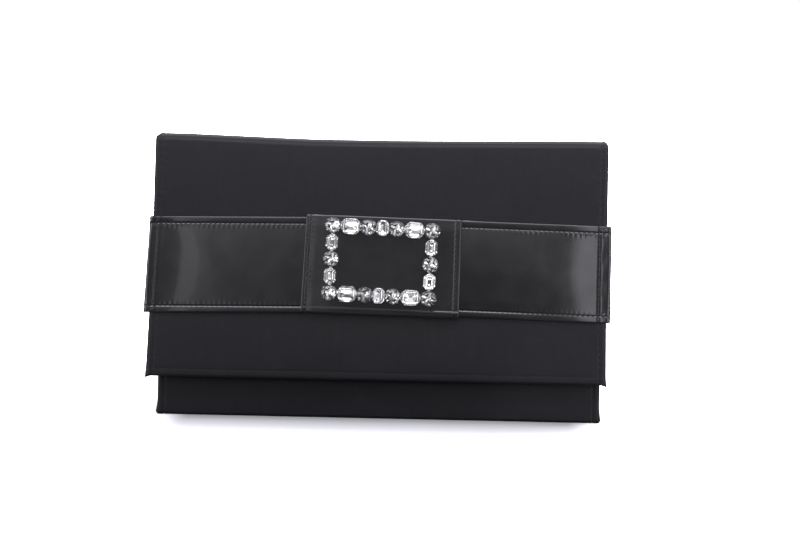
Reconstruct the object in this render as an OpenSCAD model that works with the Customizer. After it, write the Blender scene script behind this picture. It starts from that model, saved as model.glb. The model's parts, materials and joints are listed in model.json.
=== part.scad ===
// Evening clutch bag: a stiffened satin envelope with side folds, a magnetic flap,
// a patent band held by a keeper, and a buckle-shaped ornament set with twenty stones.
// Millimetres; X across, Y towards the back, Z up. The bag stands on its base, and the
// origin is on the floor under the middle of its box.

/* [Bag body] */
// Width of the back, front and base walls
body_w = 231; // [200:1:260]
// Height of the back wall
body_h = 140; // [135:1:150]
// Depth at the base, over the covers
base_d = 32; // [28:1:40]
// Depth at the top, over the covers
top_d = 15; // [13:1:18]
// Length of the front wall up its slope
front_h = 132; // [120:1:134]
// Depth of the side folds at the mouth
fold_in = 15; // [8:1:20]

/* [Flap] */
// Width of the flap and the spine
flap_w = 238; // [206:1:268]
// Length of the flap below its hinge
flap_h = 120.4; // [110:0.1:128]
// Distance from the flap's lower edge to the snap
snap_up = 23; // [20:1:32]
// Gap between flap and front wall at the hinge
hinge_gap = 1.2; // [0.8:0.1:2]

/* [Band and keeper] */
// Height of the patent band
band_h = 49; // [46:1:54]
// Distance from the flap's hinge to the band's middle
band_v = 60.7; // [55:0.1:64]
// Thickness of the folded band
band_t = 1.6; // [1.2:0.1:2]
// How far the band is turned in behind the flap
band_turn = 14; // [8:1:25]
// Width of the keeper
keeper_w = 80; // [74:1:100]
// Sideways place of the keeper
keeper_x = 1.8; // [-4:0.1:4]
// Thickness of the keeper
keeper_t = 1.2; // [1:0.1:1.6]

/* [Buckle ornament] */
// Diameter of a round stone
round_d = 8; // [7.5:0.1:8]
// Length of a long octagonal stone
long_w = 10; // [9.5:0.1:10.5]
// Width of a small octagonal stone
small_w = 6; // [5.5:0.1:6.5]
// Gap between stones in the rows
row_gap = 0.3; // [0.25:0.05:0.6]
// Gap between stones in the columns
column_gap = 0.8; // [0.5:0.05:1.2]
// Sideways place of the ornament
buckle_x = 1.0; // [-3:0.1:3]
// How far the ornament's middle sits above the band's
buckle_up = 1.8; // [0:0.1:2]
// Turn of the ornament on the keeper, clockwise from the front
buckle_turn = 2.4; // [0:0.1:3]

/* [Layers] */
// Satin cover with its foam
cover_t = 0.7; // [0.6:0.1:0.9]
// Stiffening board of the walls
board_t = 1.5; // [1.5:0.1:2]
// Stiffening board of the flap and the spine
flap_board_t = 1.2; // [1.2:0.1:1.5]
// Lining
lining_t = 0.5; // [0.4:0.1:0.7]

/* [Magnetic snap] */
// Diameter of both halves
snap_d = 18; // [16:1:18]
// Thickness of the socket
socket_t = 2.4; // [2.4:0.1:3]
// Thickness of the stud's plate
stud_t = 1.4; // [1.2:0.1:2]

/* [Hidden] */
$fn = 48;

wall_t = cover_t + board_t + lining_t;
flap_t = cover_t + flap_board_t + lining_t;
board_in = 1.5; // a board or lining stops this far inside its cover's edge
slack = 0.3; // space between neighbours on different bodies
foot = 0.6; // the front wall starts this far up its slope, clear of the floor
skin = 0.8; // a side fold's thickness, satin and lining together

// The front wall leans back about its foot
wall_lean = atan((base_d - top_d) / body_h);
base_front = -base_d + wall_t / cos(wall_lean) + 2 * slack;

// Hinge lines: over the back wall, and between the spine and the flap
rear_hinge_y = -1.2;
rear_hinge_z = body_h + slack;
spine_z = rear_hinge_z + slack;
spine_rear = rear_hinge_y - 2 * slack;
flap_hinge_y = -base_d + spine_z * tan(wall_lean) - hinge_gap / cos(wall_lean);
fold_gap = 0.4; // a panel starts this far from the hinge line in front of the spine

// The flap leans a little more than the wall does, which leaves room for the snap
snap_v = flap_h - snap_up;
snap_room = socket_t + stud_t + 0.5;
flap_lean = wall_lean + asin((snap_room - hinge_gap) / snap_v);

// Inside the snap: a cap over a ring magnet and a back plate, whose legs go through the wall
stud_d = 4.6;
stud_reach = 1.8;
hole_d = 5.4;
cap_t = 0.4;
back_plate_t = 0.5;
snap_bevel = 0.8;
leg_x = 3;
leg_w = 3.6;
leg_t = 0.6;
tab_len = 4.5;
tab_t = 0.4;
washer_d = 16;
washer_t = 0.45;
leg_play = 0.1;
washer_well = washer_t + tab_t + 0.1;

// The snap's place up the front wall, straight behind its place on the flap
snap_y = flap_hinge_y - snap_v * sin(flap_lean);
snap_z = spine_z - snap_v * cos(flap_lean);
socket_up = (snap_y + base_d) * sin(wall_lean) + snap_z * cos(wall_lean);

// Side folds: their outer edge, their lowest and highest points, their depth at the base
gusset_x = body_w / 2 - board_in;
gusset_z0 = wall_t + slack;
gusset_z1 = front_h * cos(wall_lean) - 1;
base_fold_in = 2;

// The front wall's inner face at height z, and the crease half way to the back lining
function wall_y(z) = -base_d + wall_t / cos(wall_lean) + z * tan(wall_lean);
function crease_y(z) = (wall_y(z) - wall_t) / 2;

// The slip pocket
pocket_w = 150;
pocket_z = 30;
pocket_h = 82;
pocket_t = 0.6;
pocket_gap = 1.2;
pocket_seam = 2;

// Heights over the flap's inner face
band_n = flap_t;
washer_room = 0.6;
keeper_n = band_n + band_t + washer_room;
keeper_face = keeper_n + keeper_t;
fold_t = 0.8; // thickness of the keeper's folded edges and of the band's turned ends
band_wrap = 2; // how far the band stands out past the flap's sides

// The ornament's heights over the keeper
plate_t = 1.0;
culet_z = 1.2;
cup_z = 2.8;
girdle_z = 3.2;
girdle_t = 0.3;
claw_z = 3.9;
table_z = 4.8;

// The ornament's small sizes
stone_h = 8; // height of every stone's outline
stone_corner = 0.27; // cut corner of an octagon, as a share of its shorter side
crown_in = 1.5; // the table stops this far inside the girdle
cup_out = 0.12; // a cup reaches this far past its stone's girdle
cup_in = 0.5; // a cup's hollow stops this far inside the girdle
culet_half = 0.5; // half the width of the point or ridge behind an octagon
bar_w = 4;
claw_r = 0.35;
claw_play = 0.03;
post_r = 0.6;
post_play = 0.05;
post_washer_d = 5;

// Middles of the ornament's corner stones, and the steps to their neighbours
half_w = long_w + small_w / 2 + round_d * 3 / 2 + 3 * row_gap;
half_h = stone_h * 2 + 2 * column_gap;
row_step = (round_d + long_w) / 2 + row_gap;
inner_step = (round_d + small_w) / 2 + row_gap;
column_step = stone_h + column_gap;

// A stone is [x, y, width], clockwise from the upper left; the width tells its kind
top_row = [
    [-half_w, half_h, round_d],
    [row_step - half_w, half_h, long_w],
    [-inner_step, half_h, round_d],
    [0, half_h, small_w],
    [inner_step, half_h, round_d],
    [half_w - row_step, half_h, long_w],
    [half_w, half_h, round_d],
];
right_column = [
    [half_w, column_step, small_w],
    [half_w, 0, round_d],
    [half_w, -column_step, small_w],
];
function opposite(stones) = [for (s = stones) [-s[0], -s[1], s[2]]];
STONES = concat(top_row, right_column, opposite(top_row), opposite(right_column));
function stone_kind(s) = s[2] == round_d ? "round" : s[2] == long_w ? "long" : "small";
function stone_name(i) = str(stone_kind(STONES[i]), "_stone_", i + 1);

// The bag is moved back by half its depth, from the lowest stones to the back cover
lowest_stone = band_v - buckle_up + half_h + half_w * sin(buckle_turn) + stone_h / 2 - crown_in;
front_reach = -flap_hinge_y + lowest_stone * sin(flap_lean)
    + (keeper_face + table_z) * cos(flap_lean);
centre_y = front_reach / 2;

satin = "#1d1d20";
lining = "#2a2a2f";
board = "#6b6257";
patent = "#101012";
silver = "#c9c9cc";
steel = "#a5a6a8";
magnet = "#4a4a4c";
crystal = "#e6edf2";

// ---- Frames ----

// The bag's own frame: back face at Y 0, base at Z 0
module bag() {
    translate([0, centre_y, 0]) children();
}

// On the front wall: Z outwards from its cover, Y up its slope from its foot
module on_front(up = 0) {
    bag() translate([0, -base_d, 0]) rotate([-wall_lean, 0, 0])
        translate([0, 0, up]) rotate([90, 0, 0]) children();
}

// On the flap: Z outwards from its lining, Y up, X and Y measured from a point below the hinge
module on_flap(down = 0) {
    bag() translate([0, flap_hinge_y, spine_z]) rotate([-flap_lean, 0, 0])
        translate([0, 0, -down]) rotate([90, 0, 0]) children();
}

// On the keeper's face, turned as the ornament is
module on_keeper() {
    on_flap(band_v - buckle_up) translate([buckle_x, 0, keeper_face])
        rotate([0, 0, -buckle_turn]) children();
}

// A box w wide, from y0 to y1 and from z0 to z1
module slab(w, y0, y1, z0, z1) {
    translate([-w / 2, y0, z0]) cube([w, y1 - y0, z1 - z0]);
}

// ---- Shell ----

module back_cover() {
    color(satin) bag() slab(body_w, -cover_t, 0, 0, body_h);
}

module back_board() {
    color(board) bag()
        slab(body_w - 2 * board_in, -cover_t - board_t, -cover_t, wall_t, body_h - 2 * slack);
}

module back_lining() {
    color(lining) bag()
        slab(body_w - 2 * board_in, -wall_t, -cover_t - board_t, wall_t, body_h - 2 * slack);
}

module base_cover() {
    color(satin) bag() slab(body_w, base_front, -cover_t, 0, cover_t);
}

module base_board() {
    color(board) bag()
        slab(body_w - 2 * board_in, base_front + slack, -cover_t, cover_t, cover_t + board_t);
}

module base_lining() {
    color(lining) bag()
        slab(body_w - 2 * board_in, base_front + slack, -cover_t, cover_t + board_t, wall_t);
}

// An open pocket of one sheet, stitched to the back lining along its sides and foot
module slip_pocket() {
    color(lining) bag() translate([0, -wall_t, 0]) difference() {
        slab(pocket_w, -pocket_gap - pocket_t, 0, pocket_z, pocket_z + pocket_h);
        slab(pocket_w - 2 * pocket_seam, -pocket_gap, 1,
             pocket_z + pocket_seam, pocket_z + pocket_h + 1);
    }
}

// ---- Side folds ----

// A four-cornered sheet on the right side, skin thick towards the middle of the bag.
// Its corners go clockwise as they are seen from outside; side -1 puts it on the left
module gusset_sheet(side, corners) {
    color(lining) bag() mirror([side < 0 ? 1 : 0, 0, 0]) polyhedron(
        points = concat(corners, [for (p = corners) p - [skin, 0, 0]]),
        faces = [[0, 1, 2], [0, 2, 3], [6, 5, 4], [7, 6, 4], [1, 0, 4], [1, 4, 5],
                 [2, 1, 5], [2, 5, 6], [3, 2, 6], [3, 6, 7], [0, 3, 7], [0, 7, 4]]);
}

module gusset_rear(side) {
    gusset_sheet(side, [
        [gusset_x - base_fold_in, crease_y(gusset_z0) + slack / 2, gusset_z0],
        [gusset_x - fold_in, crease_y(gusset_z1) + slack / 2, gusset_z1],
        [gusset_x, -wall_t, gusset_z1],
        [gusset_x, -wall_t, gusset_z0]]);
}

module gusset_front(side) {
    gusset_sheet(side, [
        [gusset_x, wall_y(gusset_z1), gusset_z1],
        [gusset_x - fold_in, crease_y(gusset_z1) - slack / 2, gusset_z1],
        [gusset_x - base_fold_in, crease_y(gusset_z0) - slack / 2, gusset_z0],
        [gusset_x, wall_y(gusset_z0), gusset_z0]]);
}

// ---- Front wall and its half of the snap ----

// A layer of the front wall, t thick and inset at its sides and top, with the leg slots
module wall_layer(inset, z0, t) {
    on_front() difference() {
        translate([inset - body_w / 2, foot, z0])
            cube([body_w - 2 * inset, front_h - foot - inset, t]);
        translate([0, socket_up, 0]) snap_legs(z0 - 1, t + 2, leg_play);
    }
}

// Both of a snap's legs, from z0 up, play larger on every side
module snap_legs(z0, h, play) {
    for (side = [-1, 1])
        translate([side * leg_x - leg_t / 2 - play, -leg_w / 2 - play, z0])
            cube([leg_t + 2 * play, leg_w + 2 * play, h]);
}

// The legs' ends, bent outwards and flat
module snap_tabs(z0) {
    for (side = [-1, 1])
        translate([side * (leg_x + tab_len / 2), 0, z0 + tab_t / 2])
            cube([tab_len + leg_t, leg_w, tab_t], center = true);
}

module snap_washer(z0) {
    color(steel) difference() {
        translate([0, 0, z0]) cylinder(d = washer_d, h = washer_t);
        snap_legs(z0 - 1, washer_t + 2, leg_play);
    }
}

module front_cover() {
    color(satin) wall_layer(0, -cover_t, cover_t);
}

module front_board() {
    color(board) difference() {
        wall_layer(board_in, -cover_t - board_t, board_t);
        on_front(socket_up) translate([0, 0, -cover_t - board_t - 1])
            cylinder(d = washer_d + 0.6, h = washer_well + 1);
    }
}

module front_lining() {
    color(lining) on_front() translate([board_in - body_w / 2, foot, -wall_t])
        cube([body_w - 2 * board_in, front_h - foot - board_in, lining_t]);
}

// The socket's cap, open at the back, with the hole for the stud
module snap_socket() {
    color(steel) on_front(socket_up) difference() {
        union() {
            cylinder(d = snap_d, h = socket_t - snap_bevel / 2);
            translate([0, 0, socket_t - snap_bevel / 2])
                cylinder(d1 = snap_d, d2 = snap_d - snap_bevel, h = snap_bevel / 2);
        }
        translate([0, 0, -1]) cylinder(d = snap_d - 2 * cap_t, h = socket_t - cap_t + 1);
        cylinder(d = hole_d, h = socket_t + 1);
    }
}

module snap_magnet() {
    color(magnet) on_front(socket_up) translate([0, 0, back_plate_t]) difference() {
        cylinder(d = snap_d - 2 * cap_t - 0.4, h = socket_t - cap_t - back_plate_t);
        translate([0, 0, -1]) cylinder(d = hole_d + 0.4, h = socket_t + 2);
    }
}

module snap_back_plate() {
    tabs_z = -cover_t - board_t + 0.1;
    color(steel) on_front(socket_up) {
        cylinder(d = snap_d - 2 * cap_t - 0.1, h = back_plate_t);
        snap_legs(tabs_z, -tabs_z + 0.2, 0);
        snap_tabs(tabs_z);
    }
}

module snap_socket_washer() {
    on_front(socket_up) snap_washer(-cover_t - board_t + washer_well - washer_t);
}

// ---- Spine ----

spine_front = flap_hinge_y + fold_gap;

module spine_cover() {
    color(satin) bag()
        slab(flap_w, spine_front, spine_rear, spine_z + flap_t - cover_t, spine_z + flap_t);
}

module spine_board() {
    color(board) bag() slab(flap_w - 2 * board_in, spine_front, spine_rear,
        spine_z + lining_t, spine_z + lining_t + flap_board_t);
}

module spine_lining() {
    color(lining) bag() slab(flap_w - 2 * board_in, spine_front, spine_rear,
        spine_z, spine_z + lining_t);
}

// ---- Flap and its half of the snap ----

// A layer of the flap, t thick and inset at its sides and foot
module flap_layer(inset, z0, t) {
    on_flap(flap_h) translate([inset - flap_w / 2, inset, z0])
        cube([flap_w - 2 * inset, flap_h - inset - fold_gap, t]);
}

module flap_cover() {
    color(satin) flap_layer(0, lining_t + flap_board_t, cover_t);
}

module flap_board() {
    color(board) difference() {
        flap_layer(board_in, lining_t, flap_board_t);
        on_flap(snap_v) {
            snap_legs(0, flap_t, leg_play);
            translate([0, 0, lining_t + flap_board_t - washer_well])
                cylinder(d = washer_d + 0.6, h = washer_well + 1);
        }
    }
}

module flap_lining() {
    color(lining) difference() {
        flap_layer(board_in, 0, lining_t);
        on_flap(snap_v) snap_legs(-1, flap_t, leg_play);
    }
}

module snap_stud() {
    tabs_z = lining_t + flap_board_t - tab_t;
    color(steel) on_flap(snap_v) {
        translate([0, 0, -stud_t]) cylinder(d = snap_d, h = stud_t);
        translate([0, 0, -stud_t - stud_reach]) cylinder(d = stud_d, h = stud_reach + 0.2);
        snap_legs(-0.2, tabs_z + tab_t + 0.2, 0);
        snap_tabs(tabs_z);
    }
}

module snap_stud_washer() {
    on_flap(snap_v) snap_washer(lining_t + flap_board_t - washer_well);
}

// ---- Band and keeper ----

// The band's section across the flap, from one turned end round the front to the other
module band() {
    half = flap_w / 2;
    out = half + band_wrap;
    turned = half - band_turn;
    color(patent) on_flap(band_v) rotate([-90, 0, 0]) translate([0, 0, -band_h / 2])
        linear_extrude(band_h) polygon([
            [-turned, 0], [-half, 0], [-half, -band_n], [half, -band_n], [half, 0], [turned, 0],
            [turned, fold_t], [out, fold_t], [out, -band_n - band_t],
            [-out, -band_n - band_t], [-out, fold_t], [-turned, fold_t]]);
}

// The keeper's section up the flap: a face with its upper and lower edges folded in
module keeper() {
    inside = band_h / 2 + 0.1;
    out = inside + fold_t;
    color(patent) difference() {
        on_flap(band_v) translate([keeper_x - keeper_w / 2, 0, 0]) rotate([90, 0, 90])
            linear_extrude(keeper_w) polygon([
                [-out, band_n], [-inside, band_n], [-inside, keeper_n], [inside, keeper_n],
                [inside, band_n], [out, band_n], [out, keeper_face], [-out, keeper_face]]);
        on_keeper() posts(-keeper_t - 1, keeper_t + 2, post_r + post_play);
    }
}

// ---- Buckle ornament ----

// Octagon w wide and stone_h high, grown by d on every side
module octagon(w, d = 0) {
    x = w / 2 + d;
    y = stone_h / 2 + d;
    c = stone_corner * min(w, stone_h) + d * (2 - sqrt(2));
    polygon([[x, y - c], [x - c, y], [c - x, y], [-x, y - c],
             [-x, c - y], [c - x, -y], [x - c, -y], [x, c - y]]);
}

// A stone's outline, grown by d on every side
module outline(width, d = 0) {
    if (width == round_d) circle(d = round_d + 2 * d);
    else octagon(width, d);
}

// Where the middle of a claw stands, from its stone's middle
function claw_place(width) =
    let (c = stone_corner * min(width, stone_h),
         reach = (claw_r + claw_play) / sqrt(2),
         r = round_d / 2 / sqrt(2))
    width == round_d ? [r + reach, r + reach]
        : [width / 2 - c / 2 + reach, stone_h / 2 - c / 2 + reach];

module posts(z0, h, r) {
    for (sx = [-1, 1], sy = [-1, 1])
        translate([sx * (half_w - row_step), sy * half_h, z0]) cylinder(r = r, h = h);
}

module buckle_frame() {
    color(silver) on_keeper() {
        for (side = [-1, 1]) {
            translate([-half_w, side * half_h - bar_w / 2, 0]) cube([2 * half_w, bar_w, plate_t]);
            translate([side * half_w - bar_w / 2, -half_h, 0]) cube([bar_w, 2 * half_h, plate_t]);
        }
        for (s = STONES) translate([s[0], s[1], 0]) {
            difference() {
                linear_extrude(cup_z) outline(s[2], cup_out);
                translate([0, 0, plate_t]) linear_extrude(cup_z) outline(s[2], -cup_in);
            }
            for (sx = [-1, 1], sy = [-1, 1])
                translate([sx * claw_place(s[2])[0], sy * claw_place(s[2])[1], 0])
                    cylinder(r = claw_r, h = claw_z);
        }
        posts(-keeper_t - washer_room + 0.05, keeper_t + washer_room, post_r);
    }
}

module buckle_washers() {
    h = washer_room - 0.1;
    color(steel) on_keeper() translate([0, 0, -keeper_t - washer_room + 0.05]) difference() {
        posts(0, h, post_washer_d / 2);
        posts(-1, h + 2, post_r + post_play);
    }
}

// Cut stone i: a point behind, a thin girdle and a flat table
module stone(i) {
    s = STONES[i];
    color(crystal) on_keeper() translate([s[0], s[1], 0]) {
        if (s[2] == round_d) rotate_extrude() polygon([
            [0, culet_z], [round_d / 2, girdle_z], [round_d / 2, girdle_z + girdle_t],
            [round_d / 2 - crown_in, table_z], [0, table_z]]);
        else hull() {
            translate([0, 0, culet_z]) linear_extrude(0.1)
                octagon(s[2], culet_half - min(s[2], stone_h) / 2);
            translate([0, 0, girdle_z]) linear_extrude(girdle_t) octagon(s[2]);
            translate([0, 0, table_z - 0.1]) linear_extrude(0.1) octagon(s[2], -crown_in);
        }
    }
}

// ---- Nodes ----

back_cover();
back_board();
back_lining();
base_cover();
base_board();
base_lining();
gusset_rear(-1);  // gusset_left_rear
gusset_rear(1);  // gusset_right_rear
slip_pocket();
front_cover();
front_board();
front_lining();
gusset_front(-1);  // gusset_left_front
gusset_front(1);  // gusset_right_front
snap_socket();
snap_magnet();
snap_back_plate();
snap_socket_washer();
spine_cover();
spine_board();
spine_lining();
flap_cover();
flap_board();
flap_lining();
band();
keeper();
buckle_frame();
buckle_washers();
snap_stud();
snap_stud_washer();
for (i = [0:len(STONES) - 1])
    stone(i);
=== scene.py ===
"""The look of the evening bag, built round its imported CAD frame.

Satin panels, linings, side folds, patent band and keeper, buckle ornament with cut stones.
Every size is in metres. mm turns millimetres into metres.
"""
import json
import math
import random

import bmesh
import bpy
from mathutils import Matrix, Vector, noise


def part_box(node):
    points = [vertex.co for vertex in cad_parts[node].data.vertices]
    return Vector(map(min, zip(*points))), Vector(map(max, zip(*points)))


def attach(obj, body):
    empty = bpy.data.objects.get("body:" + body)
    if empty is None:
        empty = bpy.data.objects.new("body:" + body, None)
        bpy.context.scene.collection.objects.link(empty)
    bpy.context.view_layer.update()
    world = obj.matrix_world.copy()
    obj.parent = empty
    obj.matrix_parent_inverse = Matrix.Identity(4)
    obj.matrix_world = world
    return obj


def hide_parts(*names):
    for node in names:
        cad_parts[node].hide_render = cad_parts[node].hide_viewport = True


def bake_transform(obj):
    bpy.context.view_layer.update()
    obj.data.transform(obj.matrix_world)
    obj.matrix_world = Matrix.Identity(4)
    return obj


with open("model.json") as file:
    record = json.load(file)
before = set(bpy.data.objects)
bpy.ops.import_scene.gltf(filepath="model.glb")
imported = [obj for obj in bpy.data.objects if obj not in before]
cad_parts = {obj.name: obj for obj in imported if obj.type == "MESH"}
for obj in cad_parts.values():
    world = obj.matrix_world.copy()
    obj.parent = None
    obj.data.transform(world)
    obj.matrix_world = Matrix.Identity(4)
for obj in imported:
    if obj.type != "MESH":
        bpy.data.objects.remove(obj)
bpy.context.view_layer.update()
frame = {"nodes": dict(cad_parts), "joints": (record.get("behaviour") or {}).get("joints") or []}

mm = 0.001
RIGHT = Vector((1, 0, 0))


# ---------------------------------------------------------------- small helpers

def smooth(t):
    """0 below 0, 1 above 1, and a smooth step between."""
    t = min(1.0, max(0.0, t))
    return t * t * (3 - 2 * t)


def bell(x, width):
    """1 at x 0, falling smoothly to almost nothing three widths away."""
    return math.exp(-((x / width) ** 2))


def into_edge(distance, width):
    """How far into an edge's roll a point lies: 1 at the edge, 0 from width on or for no roll."""
    return min(1.0, max(0.0, 1 - distance / width)) if width else 0.0


def drop_of_roll(a):
    """How far a quarter circle of radius 1 has fallen, a of the way out along it."""
    return 1 - math.sqrt(1 - a * a)


def waver(x, y, scale, seed=0.0):
    """Smooth noise from about -1 to 1 over the plane, with bumps about scale across."""
    return noise.noise(Vector((x / scale, y / scale, seed)))


def spread(low, high, step):
    """Evenly spaced values from low to high, both included, about step apart."""
    count = max(1, round((high - low) / step))
    return [low + (high - low) * i / count for i in range(count + 1)]


def sorted_unique(values, apart=0.02 * mm):
    """The values in order, without those closer than apart to the one before."""
    kept = []
    for value in sorted(values):
        if not kept or value - kept[-1] > apart:
            kept.append(value)
    return kept


# ---------------------------------------------------------------- the frame's planes

def extent(node, axes, origin):
    """Lowest and highest place of a CAD node along three directions, measured from origin."""
    places = [[(vertex.co - origin).dot(axis) for axis in axes]
              for vertex in frame["nodes"][node].data.vertices]
    return [Vector(map(pick, zip(*places))) for pick in (min, max)]


class Plane:
    """A leaning panel. x runs across, v down from its hinge line, n outwards."""

    def __init__(self, joint, node):
        pos = next(j["pos_m"] for j in frame["joints"] if j["name"] == joint)
        self.origin = Vector((0, pos[1], pos[2]))
        facing = [p for p in frame["nodes"][node].data.polygons if p.normal.y < -0.5]
        self.out = max(facing, key=lambda p: p.area).normal.copy()
        self.out.x = 0
        self.out.normalize()
        self.down = RIGHT.cross(self.out)

    def at(self, x, v, n):
        """The point x across, v down and n out."""
        return self.origin + RIGHT * x + self.down * v + self.out * n

    def span(self, node):
        """Lowest and highest (x, v, n) of a CAD node."""
        return extent(node, (RIGHT, self.down, self.out), self.origin)

    def corner(self, v, n):
        """(y, z) of the place v down and n out, for a cross-section line."""
        p = self.at(0, v, n)
        return p.y, p.z

    def meet(self, n, z):
        """(y, z) where the panel's surface at height n crosses the level z."""
        return self.corner((z - self.origin.z - self.out.z * n) / self.down.z, n)


flap = Plane("flap_fold", "flap_cover")
front = Plane("mouth", "front_cover")

flap_high = flap.span("flap_cover")[1]
band_low, band_high = flap.span("band")
keeper_low, keeper_high = flap.span("keeper")
front_low = front.span("front_cover")[0]
front_in = front.span("front_lining")[0].z
back_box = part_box("back_cover")
spine_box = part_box("spine_cover")
base_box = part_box("base_cover")

flap_out = flap_high.z
back_y = back_box[1].y
top_z = spine_box[1].z
hinge_z = flap.origin.z
lining_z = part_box("base_lining")[1].z
lining_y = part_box("back_lining")[0].y
spine_mid = (spine_box[0].y + spine_box[1].y) / 2
base_mid = (base_box[0].y + base_box[1].y) / 2
body_half = back_box[1].x
flap_half = flap_high.x


# ---------------------------------------------------------------- how the soft bag sits

arch_h = 0.1 * mm       # the base's middle stands this far off the floor
arch_reach = 35 * mm    # how far up the arch is felt
top_lift = 1.0 * mm     # the stuffed fold stands this far over the CAD's
left_rise = 2.0 * mm    # the top's left end stands this far over its middle
left_from = 25 * mm     # from here on to the left it rises
left_run = 95 * mm      # over this length
right_rise = 1.5 * mm   # and the same for the right
right_from = -5 * mm
right_run = 125 * mm
top_reach = 40 * mm     # how far down from the top the lift is felt
back_full = 1.6 * mm    # the back swells this much at its middle
back_dent = 0.35 * mm   # and is this uneven
dent_w = 55 * mm        # the width of its dents


def settle(p):
    """Moves a point of the stiff bag to where it lies on the soft, stuffed one."""
    arch = arch_h * (1 - (p.x / body_half) ** 2) * max(0.0, 1 - p.z / arch_reach) ** 2
    left = left_rise * smooth((-p.x - left_from) / left_run)
    right = right_rise * smooth((p.x - right_from) / right_run)
    near_top = smooth(1 - (top_z - p.z) / top_reach)
    at_back = smooth((p.y - spine_mid) / (back_y - spine_mid))
    height = max(0.0, min(1.0, p.z / top_z))
    full = back_full * (1 - (p.x / body_half) ** 2) * math.sin(math.pi * height) * at_back
    dent = back_dent * waver(p.x, p.z, dent_w, 37) * math.sin(math.pi * height) * at_back
    return p + Vector((0, max(0.0, full) + dent,
                       max(0.0, arch) + (left + right + top_lift) * near_top))


# ---------------------------------------------------------------- cross-section lines

TINY = 1e-9


class Profile:
    """A line through corner points of a plane, rounded at each inner corner.

    Its outer side is on the right hand as one walks along it, or on the left for side -1.
    """

    def __init__(self, corners, radii, side=1):
        points = [Vector(c) for c in corners]
        self.side = side
        self.parts = []
        self.length = 0.0
        here = points[0]
        for i, radius in enumerate(radii, start=1):
            into = (points[i] - points[i - 1]).normalized()
            away = (points[i + 1] - points[i]).normalized()
            turn = math.atan2(into.x * away.y - into.y * away.x, into.dot(away))
            cut = radius * math.tan(abs(turn) / 2)
            self._line(here, points[i] - into * cut)
            self._arc(points[i] - into * cut, into, turn, radius)
            here = points[i] + away * cut
        self._line(here, points[-1])

    def _line(self, a, b):
        length = (b - a).length
        self.parts.append((self.length, length, a, (b - a).normalized(), 0.0))
        self.length += length

    def _arc(self, a, way, turn, radius):
        length = abs(turn) * radius
        self.parts.append((self.length, length, a, way, turn))
        self.length += length

    def at(self, s):
        """Point and outward normal at distance s along the line."""
        for start, length, a, way, turn in self.parts:
            if s <= start + length + TINY or start + length >= self.length - TINY:
                t = s - start
                if not turn:
                    return a + way * t, Vector((way.y, -way.x)) * self.side
                radius = length / abs(turn)
                centre = a + Vector((-way.y, way.x)) * math.copysign(radius, turn)
                rotate = Matrix.Rotation(turn * t / length, 2)
                heading = rotate @ way
                return (centre + rotate @ (a - centre),
                        Vector((heading.y, -heading.x)) * self.side)

    def stations(self, step, bend_step=0.3 * mm):
        """Distances along the line, closer together in the bends."""
        values = []
        for start, length, *_, turn in self.parts:
            values += spread(start, start + length, bend_step if turn else step)
        return values


# Columns of points this far in from a sheet's side edges, in millimetres
EDGE = (0, 0.05, 0.2, 0.45, 0.8, 1.2, 1.7, 2.2, 2.7, 3.1, 3.5, 3.9, 4.3, 4.9, 5.8, 7, 9, 12)
stitch_w = 2.6 * mm      # from one stitch of the patent pieces to the next


# ---------------------------------------------------------------- mesh builders

def link(name, mesh, material):
    """An object of a mesh, with its material."""
    obj = bpy.data.objects.new(name, mesh)
    bpy.context.scene.collection.objects.link(obj)
    mesh.materials.append(material)
    return obj


def finish_mesh(name, verts, faces, material, cloth=None, flat_faces=(), smooth_shaded=True):
    """A closed mesh with outward normals and, per point, its place on the flat cloth."""
    cloth = cloth or [(0, 0)] * len(verts)
    mesh = bpy.data.meshes.new(name)
    bm = bmesh.new()
    layer = bm.verts.layers.float_vector.new("cloth")
    made = []
    for co, flat in zip(verts, cloth):
        vert = bm.verts.new(co)
        vert[layer] = Vector((flat[0], flat[1], 0))
        made.append(vert)
    for i, face in enumerate(faces):
        bm_face = bm.faces.new([made[k] for k in face])
        bm_face.smooth = smooth_shaded and i not in flat_faces
    bm.faces.ensure_lookup_table()
    for i in flat_faces:
        for edge in bm.faces[i].edges:
            if any(f.smooth for f in edge.link_faces):
                edge.smooth = False
    bmesh.ops.remove_doubles(bm, verts=bm.verts, dist=0.001 * mm)
    bmesh.ops.dissolve_degenerate(bm, dist=0.0001 * mm, edges=bm.edges)
    bmesh.ops.recalc_face_normals(bm, faces=bm.faces)
    bm.to_mesh(mesh)
    bm.free()
    return link(name, mesh, material)


def tube_quads(rings, count, base=0):
    """Faces between neighbouring rings of count points each, the first point being base."""
    faces = []
    for i in range(rings - 1):
        a, b = base + i * count, base + (i + 1) * count
        for k in range(count):
            n = (k + 1) % count
            faces.append((a + k, a + n, b + n, b + k))
    return faces


def add_tube(parts, rings):
    """Adds a tube through rings of points, closed at both ends, to (verts, faces)."""
    verts, faces = parts
    base, count = len(verts), len(rings[0])
    for ring in rings:
        verts += ring
    faces += tube_quads(len(rings), count, base)
    faces.append(tuple(base + k for k in reversed(range(count))))
    last = base + (len(rings) - 1) * count
    faces.append(tuple(last + k for k in range(count)))


def columns_across(low, high, margin, between):
    """Places from low to high: those of margin in from each side, and between steps inside."""
    start, end = low + margin[-1], high - margin[-1]
    inner = [start + (end - start) * k / between for k in range(1, between)]
    return [low + d for d in margin] + inner + [high - d for d in reversed(margin)]


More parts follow.
